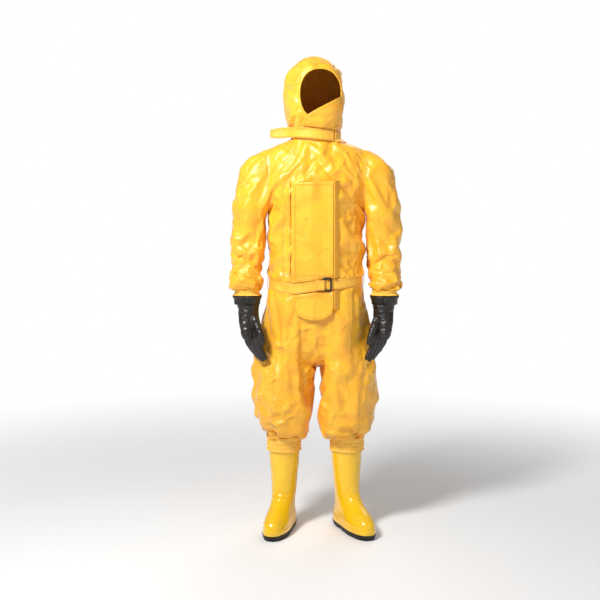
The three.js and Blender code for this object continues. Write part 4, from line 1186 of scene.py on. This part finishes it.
def boot_sections():
    half = 0.143
    z0 = SOLE_TOP + 0.0006
    return [
        # middle y, height, half width, half length, squareness
        (FOOT_Y, z0, 0.0490, half, 2.5),
        (FOOT_Y, z0 + 0.010, 0.0502, half + 0.0008, 2.5),
        (FOOT_Y + 0.001, z0 + 0.022, 0.0502, half - 0.0002, 2.45),
        (FOOT_Y + 0.003, z0 + 0.034, 0.0496, half - 0.0040, 2.4),
        (FOOT_Y + 0.008, z0 + 0.046, 0.0478, half - 0.0115, 2.3),
        (FOOT_Y + 0.016, z0 + 0.057, 0.0454, half - 0.0220, 2.25),
        (FOOT_Y + 0.027, z0 + 0.067, 0.0436, half - 0.0350, 2.2),
        (FOOT_Y + 0.038, z0 + 0.078, 0.0428, half - 0.0490, 2.15),
        (FOOT_Y + 0.047, z0 + 0.090, 0.0428, half - 0.0615, 2.1),
        (FOOT_Y + 0.053, z0 + 0.104, 0.0440, half - 0.0710, 2.0),
        (-0.0055, 0.140, 0.0462, 0.0610, 2.0),
        (-0.0030, 0.160, 0.0475, 0.0600, 2.0),
        (0.0000, 0.184, 0.0492, 0.0598, 2.0),
        (0.0010, 0.215, 0.0520, 0.0594, 2.0),
        (0.0020, 0.252, 0.0558, 0.0592, 2.0),
        (0.0020, 0.290, 0.0584, 0.0606, 2.0),
        (0.0020, BOOT_TOP, 0.0600, 0.0620, 2.0),
    ]


def boot_shell(word):
    sections = np.array(boot_sections())
    heights = np.concatenate([np.linspace(sections[0, 1], 0.13, 90), np.linspace(0.132, BOOT_TOP, 96)])
    cols = [np.interp(heights, sections[:, 1], sections[:, k]) for k in range(5)]
    blur = np.exp(-(((heights[:, None] - heights[None]) / 0.006) ** 2))
    blur /= blur.sum(1, keepdims=True)
    middle_y, _, wide, long, square = (blur @ c for c in cols)
    foxing = 0.0016 * (1 - soft_step(heights, SOLE_TOP + 0.014, SOLE_TOP + 0.0165))
    line_1 = 0.0007 * np.exp(-(((heights - 0.193) / 0.0016) ** 2))
    rim = 0.0012 * soft_step(heights, BOOT_TOP - 0.012, BOOT_TOP - 0.010)
    grow = foxing + line_1 + rim
    a = np.linspace(0, 2 * np.pi, 150, endpoint=False)
    cos, sin = np.cos(a), np.sin(a)
    c, s = boxy(cos, 2 / square[:, None]), boxy(sin, 2 / square[:, None])
    heel = np.clip(sin, 0, 1)[None] ** 3
    kick = 0.0030 * np.exp(-(((heights[:, None] - 0.050) / 0.006) ** 2)) * heel
    narrow = 1 - 0.10 * np.clip(s, 0, 1) * (1 - soft_step(heights, 0.06, 0.12))[:, None]
    waist = 1 - 0.07 * np.exp(-(((s - 0.12) / 0.30) ** 2)) * (1 - soft_step(heights, 0.05, 0.09))[:, None]
    x = (wide + grow)[:, None] * c * narrow * waist
    y = middle_y[:, None] + (long + grow)[:, None] * s + kick
    z = heights[:, None] + 0 * x
    toe = np.clip(-s, 0, 1) ** 2
    z = z + 0.006 * toe * soft_step(heights, SOLE_TOP + 0.004, SOLE_TOP + 0.03)[:, None] * (heights[:, None] < 0.13)
    seam = 0.0006 * np.exp(-((c / 0.025) ** 2)) * (sin > 0)[None] * soft_step(heights, 0.05, 0.07)[:, None]
    y = y + seam
    ankle = np.exp(-(((heights[:, None] - 0.128) / 0.024) ** 2)) * np.clip(-sin, 0, 1)[None] ** 0.7
    crease = ankle * 0.0016 * np.sin((heights[:, None] - 0.12) * 430 + 1.2 * np.cos(a)[None])
    y = y - crease
    outer = np.stack([x, y, z], -1)
    depth = np.linspace(0, 1, 12)[1:, None]
    last = outer[-1]
    inward = np.stack([-c[-1], -s[-1], 0 * c[-1]], -1)
    inner = last[None] + inward * 0.0035 + np.array([0, 0, -0.045]) * depth[..., None]
    lip = last[None] + inward * 0.0018 + np.array([0, 0, 0.0012])
    return outwards(grid_piece("rubber_boot_" + word, turned(np.concatenate([outer, lip, inner]), word), closed=True))


def sole_block(word):
    """The sole: a slab with a rim, a heel, an arch cut away between them, and cleats along its lower edge."""
    a = np.linspace(0, 2 * np.pi, 240, endpoint=False)
    c, s = boxy(np.cos(a), 0.8), boxy(np.sin(a), 0.8)
    rows = [(0.0, -0.9), (0.0, -0.030), (0.0, -0.0032), (0.0012, -0.0016), (0.0066, -0.0010), (0.0072, 0.0008)]
    rows += [(0.0150, 0.0014), (0.0170, 0.0034), (SOLE_TOP - 0.0008, 0.0036)]
    rows += [(SOLE_TOP - 0.0002, 0.0028), (SOLE_TOP, -0.002), (SOLE_TOP, -0.9)]
    height, grow = np.array(rows).T
    shrink = np.where(grow < -0.5, 0.03, 1.0)[:, None]
    grow = np.where(grow < -0.5, 0.0, grow)[:, None]
    cleat = 0.0012 * (np.sin(a * 46) > 0) * (height < 0.0068)[:, None]
    narrow = 1 - 0.10 * np.clip(s, 0, 1)
    waist = 1 - 0.07 * np.exp(-(((s - 0.12) / 0.30) ** 2))
    x = (0.0490 + grow - cleat) * c * shrink * narrow * waist
    y = FOOT_Y + (0.143 + grow - cleat) * s * shrink
    z = height[:, None] + 0 * x
    under_arch = soft_step(y, FOOT_Y + 0.006, FOOT_Y + 0.012) * (1 - soft_step(y, FOOT_Y + 0.048, FOOT_Y + 0.054))
    z = np.where(z < 0.010, np.maximum(z, 0.0075 * under_arch), z)
    grid = turned(np.stack([x, y, z], -1), word)
    return outwards(grid_piece("boot_sole_block_" + word, grid, closed=True, caps=True))


boots, soles = {}, {}
for word in SIDES:
    boots[word], soles[word] = boot_shell(word), sole_block(word)
    boots[word].data.shade_smooth()
    soles[word].data.shade_smooth()
print("boots ready")

# %% [markdown]
# ## Materials
# The cloth is a woven base with a smooth coating: a clear yellow with a satin shine, sharp small creases where
# the coating has been folded, a fine weave under it, and sewn seams with two rows of stitches. The rubber is
# smooth and glossy on the boots and darker and softer on the gloves. All of it is made with noise and waves.

# %% A short way to wire shader nodes
class Wire:
    """Adds nodes to one material and links them. A value may be a number, a colour or another node's socket."""

    def __init__(self, name):
        self.material = bpy.data.materials.new(name)
        self.material.use_nodes = True
        self.tree = self.material.node_tree
        self.tree.nodes.clear()
        self.out = self.tree.nodes.new("ShaderNodeOutputMaterial")

    def put(self, socket, value):
        if isinstance(value, bpy.types.NodeSocket):
            self.tree.links.new(value, socket)
        else:
            socket.default_value = value

    def node(self, kind, output=0, settings=None, **inputs):
        node = self.tree.nodes.new("ShaderNode" + kind)
        for key, value in (settings or {}).items():
            setattr(node, key, value)
        for key, value in inputs.items():
            by_number = key[0] == "i" and key[1:].isdigit()
            self.put(node.inputs[int(key[1:]) if by_number else key.replace("_", " ")], value)
        return node.outputs[output]

    def math(self, operation, a, b=0.0, c=0.0):
        return self.node("Math", settings={"operation": operation}, i0=a, i1=b, i2=c)

    def vector(self, operation, a, b=(0, 0, 0), scale=1.0, output=0):
        node = self.tree.nodes.new("ShaderNodeVectorMath")
        node.operation = operation
        self.put(node.inputs[0], a)
        if operation == "SCALE":
            self.put(node.inputs["Scale"], scale)
        else:
            self.put(node.inputs[1], b)
        return node.outputs[output]

    def ramp(self, value, low, high, to_low=0.0, to_high=1.0):
        """A smooth step of value from low to high."""
        node = self.tree.nodes.new("ShaderNodeMapRange")
        node.interpolation_type = "SMOOTHSTEP"
        for index, given in enumerate([value, low, high, to_low, to_high]):
            self.put(node.inputs[index], given)
        return node.outputs[0]

    def noise(self, place, scale, detail=3.0, rough=0.5, warp=0.0):
        return self.node("TexNoise", Vector=place, Scale=scale, Detail=detail, Roughness=rough, Distortion=warp)

    def mix(self, share, a, b):
        node = self.tree.nodes.new("ShaderNodeMix")
        node.data_type = "RGBA"
        for index, given in ((0, share), (6, a), (7, b)):
            self.put(node.inputs[index], given)
        return node.outputs[2]

    def bump(self, height, distance, strength=1.0, normal=None):
        node = self.tree.nodes.new("ShaderNodeBump")
        self.put(node.inputs["Height"], height)
        node.inputs["Distance"].default_value = distance
        node.inputs["Strength"].default_value = strength
        if normal is not None:
            self.put(node.inputs["Normal"], normal)
        return node.outputs[0]

    def finish(self, shader):
        self.tree.links.new(shader, self.out.inputs["Surface"])
        return self.material


def creases(wire, place, scale, width, seed):
    """Sharp crease lines: the borders of cells in space that noise has bent, high at a border and 0 away
    from it."""
    shift = wire.vector("ADD", place, (seed * 1.7, seed * 0.9, seed * 2.3))
    bent = wire.node("TexNoise", output=1, Vector=shift, Scale=scale * 0.7, Detail=2.0)
    moved = wire.vector("ADD", shift, wire.vector("SCALE", bent, scale=0.9 / scale))
    cells = wire.node("TexVoronoi", settings={"feature": "DISTANCE_TO_EDGE"}, Vector=moved, Scale=scale)
    return wire.ramp(cells, 0.0, width, 1.0, 0.0)


def coated_cloth(name, colour, patterned=True, weave=1.0, crumple=1.0, rough=0.40, shine=0.18):
    wire = Wire(name)
    if patterned:
        place = wire.node("Attribute", output=1, settings={"attribute_name": "cut"})
    else:
        place = wire.node("TexCoord", output=3)
    big, small = creases(wire, place, 11.0, 0.16, 1), creases(wire, place, 30.0, 0.20, 4)
    where = wire.ramp(wire.noise(place, 6.0, 2.0), 0.42, 0.62)
    broad = wire.noise(place, 14.0, 4.0, 0.55, 0.6)
    height = wire.math("MULTIPLY", big, where)
    height = wire.math("MULTIPLY_ADD", small, wire.math("MULTIPLY", where, 0.2), height)
    height = wire.math("MULTIPLY_ADD", broad, 0.65, height)
    parts = wire.node("SeparateXYZ", Vector=place).node
    if patterned:  # the legs are creased more deeply than the rest
        height = wire.math("MULTIPLY", height, wire.ramp(parts.outputs[2], 0.62, 0.92, 2.6, 1.0))
    normal = wire.bump(height, 0.0027 * crumple, 0.85)
    threads = []
    for a, b in ((0, 1), (2, 2)):
        run = wire.math("ADD", parts.outputs[a], wire.math("MULTIPLY", parts.outputs[b], 0.35 * (a != b)))
        threads.append(wire.math("SINE", wire.math("MULTIPLY", run, 5200.0)))
    weft = wire.math("MULTIPLY", threads[0], threads[1])
    normal = wire.bump(weft, 0.00006, 0.35 * weave, normal)
    colour_b = [min(1, colour[0] * 0.97), colour[1] * 0.82, colour[2] * 0.55, 1]
    pale = [min(1, colour[0] * 1.02), min(1, colour[1] * 1.10), min(1, colour[2] * 1.9 + 0.01), 1]
    base = wire.mix(wire.ramp(broad, 0.38, 0.70), [*colour, 1], colour_b)
    base = wire.mix(wire.math("MULTIPLY", height, 0.11), base, pale)
    dust = wire.ramp(wire.noise(place, 48.0, 6.0, 0.65), 0.52, 0.80, 0.0, 0.16)
    base = wire.mix(dust, base, colour_b)
    rough_value = wire.ramp(wire.noise(place, 22.0, 4.0), 0.3, 0.75, rough - 0.06, rough + 0.12)
    if patterned:
        distance = None
        for seam in ("seam_a", "seam_b", "seam_c"):
            line = wire.math("ABSOLUTE", wire.node("Attribute", output=2, settings={"attribute_name": seam}))
            distance = line if distance is None else wire.math("MINIMUM", distance, line)
        ridge = wire.ramp(distance, 0.0034, 0.0048, 1.0, 0.0)
        groove = wire.ramp(distance, 0.0, 0.0009, 1.0, 0.0)
        row = wire.ramp(wire.math("ABSOLUTE", wire.math("SUBTRACT", distance, 0.0026)), 0.0001, 0.0005, 1.0, 0.0)
        total = wire.math("ADD", wire.math("ADD", parts.outputs[0], parts.outputs[1]), parts.outputs[2])
        dash = wire.ramp(wire.math("SINE", wire.math("MULTIPLY", total, 1500.0)), -0.5, 0.1)
        stitch = wire.math("MULTIPLY", row, dash)
        pucker = wire.math("MULTIPLY", wire.ramp(distance, 0.002, 0.011, 1.0, 0.0), wire.noise(place, 95.0, 2.0))
        sewn = wire.math("ADD", ridge, wire.math("MULTIPLY", pucker, 0.7))
        sewn = wire.math("SUBTRACT", sewn, wire.math("MULTIPLY", groove, 0.8))
        sewn = wire.math("ADD", sewn, wire.math("MULTIPLY", wire.math("SUBTRACT", stitch, row), 0.35))
        normal = wire.bump(sewn, 0.0010, 0.9, normal)
        # Painted shade: the base colour is darkened along each seam's groove, where shade falls in the recess.
        groove_shade_colour = [colour_b[0] * 0.6, colour_b[1] * 0.5, colour_b[2] * 0.4, 1]
        base = wire.mix(wire.math("MULTIPLY", groove, 0.55), base, groove_shade_colour)
        base = wire.mix(wire.math("MULTIPLY", stitch, 0.35), base, pale)
    shader = wire.node("BsdfPrincipled", Base_Color=base, Roughness=rough_value, Normal=normal)
    principled = shader.node
    principled.inputs["Coat Weight"].default_value = 1.7 * shine
    principled.inputs["Coat Roughness"].default_value = 0.40
    principled.inputs["Sheen Weight"].default_value = 0.12
    principled.inputs["Specular IOR Level"].default_value = 0.50
    inner_colour = [colour[0] * 0.62, colour[1] * 0.55, colour[2] * 0.9, 1]
    lining = wire.node("BsdfPrincipled", Base_Color=inner_colour, Roughness=0.85)
    wire.put(lining.node.inputs["Normal"], normal)
    inside = wire.node("NewGeometry", output=6)
    both = wire.node("MixShader", i0=inside, i1=shader, i2=lining)
    return wire.finish(both)


def rubber(name, colour, rough, coat, speck, crease=0.4, deep=0.7):
    wire = Wire(name)
    place = wire.node("TexCoord", output=3)
    broad, fine = wire.noise(place, 16.0, 4.0, 0.55, 0.5), wire.noise(place, 420.0, 2.0)
    scuffs = wire.ramp(wire.noise(wire.vector("MULTIPLY", place, (1, 1, 0.25)), 90.0, 5.0, 0.7), 0.60, 0.74)
    dark = [c * deep for c in colour] + [1]
    base = wire.mix(wire.ramp(broad, 0.35, 0.7), [*colour, 1], dark)
    base = wire.mix(wire.math("MULTIPLY", scuffs, speck), base, [min(1, c * 1.5 + 0.02) for c in colour] + [1])
    normal = wire.bump(broad, 0.0012 * crease, 0.7)
    normal = wire.bump(fine, 0.00008, 0.35, normal)
    value = wire.math("MULTIPLY_ADD", scuffs, 0.18, wire.ramp(broad, 0.3, 0.8, rough - 0.03, rough + 0.07))
    shader = wire.node("BsdfPrincipled", Base_Color=base, Roughness=value, Normal=normal)
    shader.node.inputs["Coat Weight"].default_value = coat
    shader.node.inputs["Coat Roughness"].default_value = 0.12
    return wire.finish(shader)


def hard(name, colour, rough, metal=0.0, brushed=0.0):
    wire = Wire(name)
    place = wire.node("TexCoord", output=3)
    grain = wire.noise(wire.vector("MULTIPLY", place, (1, 1, 1 - 0.9 * brushed)), 700.0, 3.0)
    wear = wire.ramp(wire.noise(place, 130.0, 4.0, 0.6), 0.55, 0.75)
    base = wire.mix(wire.math("MULTIPLY", wear, 0.22), [*colour, 1], [min(1, c * 1.6 + 0.03) for c in colour] + [1])
    value = wire.ramp(grain, 0.3, 0.7, rough - 0.05, rough + 0.12)
    shader = wire.node("BsdfPrincipled", Base_Color=base, Roughness=value, Normal=wire.bump(grain, 0.00005, 0.5))
    shader.node.inputs["Metallic"].default_value = metal
    return wire.finish(shader)


YELLOW = (0.92, 0.455, 0.012)
suit_cloth = coated_cloth("coated suit cloth", YELLOW)
flap_cloth = coated_cloth("coated flap cloth", (0.92, 0.455, 0.013), crumple=0.7, rough=0.40)
strap_cloth = coated_cloth(
    "belt and strap cloth", (0.93, 0.48, 0.035), crumple=0.35, weave=1.6, rough=0.45, shine=0.08
)
elastic_cloth = coated_cloth(
    "gathered elastic cloth", (0.93, 0.53, 0.055), crumple=0.35, weave=1.4, rough=0.48, shine=0.05
)
lining_cloth = coated_cloth("lining cloth", (0.60, 0.33, 0.06), patterned=False, crumple=0.5, rough=0.8, shine=0.0)
boot_rubber = rubber("yellow boot rubber", (0.95, 0.56, 0.008), 0.20, 0.55, 0.10, crease=0.30, deep=0.92)
sole_rubber = rubber("black sole rubber", (0.016, 0.013, 0.011), 0.62, 0.0, 0.35, crease=0.5)
glove_rubber = rubber("black glove rubber", (0.0135, 0.0095, 0.0075), 0.42, 0.10, 0.10, crease=1.0)
buckle_plastic = hard("dark buckle plastic", (0.020, 0.011, 0.008), 0.28)
snap_plastic = hard("yellow snap plastic", (0.90, 0.46, 0.03), 0.35)
zip_plastic = hard("zipper tooth plastic", (0.72, 0.34, 0.025), 0.40)
zip_metal = hard("zipper metal", (0.62, 0.60, 0.56), 0.30, 1.0, 1.0)


def dress(piece, material):
    piece.data.materials.clear()
    piece.data.materials.append(material)


for piece in cloth.values():
    dress(piece, suit_cloth)
for piece in (flap_upper, flap_lower, *welts, tuck, chin):
    dress(piece, flap_cloth)
for piece in (strap, patch, belt, belt_fold, *loops):
    dress(piece, strap_cloth)
keep_pattern(face_hem, points_of(face_hem))
mark_seams(face_hem)
dress(face_hem, suit_cloth)
for word in SIDES:
    dress(cuffs[word], elastic_cloth)
    dress(bands[word], elastic_cloth)
    dress(gloves[word], glove_rubber)
    dress(boots[word], boot_rubber)
    dress(soles[word], sole_rubber)
    dress(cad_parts["boot_insole_" + word], lining_cloth)
dress(buckle, buckle_plastic)
dress(snap, snap_plastic)
for node, material in {
    "zipper_tape_right": lining_cloth,
    "zipper_tape_left": lining_cloth,
    "zipper_teeth": zip_plastic,
    "zipper_bottom_stop": zip_metal,
    "zipper_slider": zip_metal,
    "zipper_pull": zip_metal,
}.items():
    dress(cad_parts[node], material)
print("materials:", sorted(m.name for m in bpy.data.materials if m.users))

# %% [markdown]
# ## Which body each piece moves with
# A stiff piece rides one body. Cloth that crosses a joint keeps its place, with its transform baked into its points,
# and each piece hides the CAD nodes it stands in for.

# %% Ride a body or stay in place, and stand in for the CAD nodes
def rides(piece, body, *nodes, slot="suit_fabric"):
    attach(piece, body)
    if nodes:
        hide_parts(*nodes)


def bends(piece, a, b, start, end, *nodes, slot="suit_fabric"):
    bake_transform(piece)
    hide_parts(*nodes)


rides(cloth["coverall_torso"], "torso", "front_panel", "back_panel", "leg_gusset", "collar", "flap_underlap")
bends(
    cloth["hood_cloth"], "torso", "hood", (0, 0, NECK_CUT + 0.004), (0, 0, NECK_CUT + 0.044),
    "hood_right_panel", "hood_left_panel", "hood_crown_panel", "hood_chin_panel",
)  # fmt: skip
rides(face_hem, "hood")
rides(chin, "chin_flap", "chin_flap")
rides(strap, "neck_strap", "neck_strap", slot="webbing")
rides(patch, "torso", "strap_patch", slot="webbing")
rides(flap_upper, "storm_flap", "storm_flap_upper")
rides(flap_lower, "storm_flap_tail", "storm_flap_lower")
rides(snap, "storm_flap", "snap_cap", slot="dark_plastic")
rides(welts[0], "torso", "flap_welt_upper")
rides(welts[1], "torso", "flap_welt_lower")
rides(tuck, "torso", "chest_pleat")
rides(belt, "torso", "belt", slot="webbing")
rides(belt_fold, "torso", "belt_fold", slot="webbing")
rides(buckle, "buckle", "belt_buckle", slot="dark_plastic")
for piece, word in zip(loops, ("right", "left", "back")):
    rides(piece, "torso", "belt_loop_" + word, slot="webbing")
for word, side in SIDES.items():
    arm, forearm, hand = "arm_" + word, "forearm_" + word, "hand_" + word
    thigh, shin = "thigh_" + word, "shin_" + word
    x = side * ARM_X
    pit, slant = np.array([side * (PIT_X + 0.002), 0, PIT_Z]), np.array([side * 0.5, 0, -0.866])
    bends(
        cloth["sleeve_upper_cloth_" + word], "torso", arm, pit + slant * 0.040, pit + slant * 0.137,
        "sleeve_cap_" + word, "sleeve_upper_" + word,
    )  # fmt: skip
    bends(
        cloth["sleeve_lower_cloth_" + word], arm, forearm, (x, 0, SLEEVE_CUT - 0.053), (x, 0, ELBOW_Z - 0.085),
        "sleeve_elbow_" + word, "sleeve_lower_" + word,
    )  # fmt: skip
    rides(cuffs[word], forearm, "cuff_elastic_" + word, slot="elastic")
    bends(
        gloves[word], forearm, hand, (x, 0, WRIST_Z + 0.024), (x, 0, WRIST_Z - 0.026),
        "glove_hand_" + word, "glove_gauntlet_" + word, slot="glove_rubber",
    )  # fmt: skip
    x = side * LEG_X
    bends(
        cloth["leg_upper_cloth_" + word], "torso", thigh, (x, 0, HIP_CUT - 0.071), (x, 0, LEG_CUT - 0.021),
        "leg_hip_" + word, "leg_upper_" + word,
    )  # fmt: skip
    bends(
        cloth["leg_lower_cloth_" + word], thigh, shin, (x, 0, LEG_CUT - 0.044), (x, 0, KNEE_Z - 0.072),
        "leg_knee_" + word, "leg_lower_" + word,
    )  # fmt: skip
    rides(bands[word], shin, "boot_band_" + word, slot="elastic")
    rides(boots[word], shin, "boot_" + word, slot="boot_rubber")
    rides(soles[word], shin, "boot_sole_" + word, slot="sole_rubber")


# %% [markdown]
# ## Floor, light and camera
# A pale floor and a pale room round it. A large soft light comes from the upper left of the view, a weaker one
# from the right, and the room fills the shadows.

# %% Stage, lights and camera
def stage_plane(name, size):
    piece = add(name, [[-size, -size, 0], [size, -size, 0], [size, size, 0], [-size, size, 0]], [[0, 1, 2, 3]])
    wire = Wire(name)
    place = wire.node("TexCoord", output=3)
    base = wire.mix(wire.noise(place, 2.0), [0.90, 0.90, 0.90, 1], [0.93, 0.93, 0.93, 1])
    matt = wire.node("BsdfPrincipled", Base_Color=base, Roughness=0.8)
    far = wire.ramp(wire.vector("LENGTH", place, output=1), 0.7, 3.2)
    bright = wire.node("Emission", Color=[1, 1, 1, 1], Strength=1.0)
    dress(piece, wire.finish(wire.node("MixShader", i0=far, i1=matt, i2=bright)))


def soft_light(name, place, target, size, power):
    lamp = bpy.data.lights.new(name, "AREA")
    lamp.shape, lamp.size, lamp.energy, lamp.color = "DISK", size, power, (1, 1, 1)
    light = bpy.data.objects.new(name, lamp)
    light.location = place
    light.rotation_euler = (Vector(target) - Vector(place)).to_track_quat("-Z", "Y").to_euler()
    bpy.context.scene.collection.objects.link(light)


stage_plane("pale_floor", 30.0)
soft_light("key_light", (-1.35, -1.8, 2.85), (0, 0, 1.5), 0.7, 104)
soft_light("fill_light", (2.6, -2.4, 1.6), (0, 0, 0.9), 2.2, 8)
soft_light("back_light", (1.0, 3.0, 2.8), (0, 0, 1.1), 2.0, 30)
world = bpy.data.worlds.new("pale room")
world.use_nodes = True
nodes, links = world.node_tree.nodes, world.node_tree.links
room, seen = nodes["Background"], nodes.new("ShaderNodeBackground")
path, choose = nodes.new("ShaderNodeLightPath"), nodes.new("ShaderNodeMixShader")
room.inputs["Color"].default_value = seen.inputs["Color"].default_value = (1, 1, 1, 1)
room.inputs["Strength"].default_value, seen.inputs["Strength"].default_value = 0.28, 1.0
for source, target in (
    (path.outputs["Is Camera Ray"], choose.inputs[0]),
    (room.outputs[0], choose.inputs[1]),
    (seen.outputs[0], choose.inputs[2]),
    (choose.outputs[0], nodes["World Output"].inputs["Surface"]),
):
    links.new(source, target)
bpy.context.scene.world = world
bpy.context.scene.view_settings.view_transform = "Standard"

lens = bpy.data.cameras.new("camera")
lens.lens, lens.sensor_width = 62, 36
camera = bpy.data.objects.new("camera", lens)
camera.location = (-0.060, -3.9, 1.25)
camera.rotation_euler = (math.radians(84.7), 0, 0)
bpy.context.scene.collection.objects.link(camera)
bpy.context.scene.camera = camera

# %% Finish
bpy.context.view_layer.update()
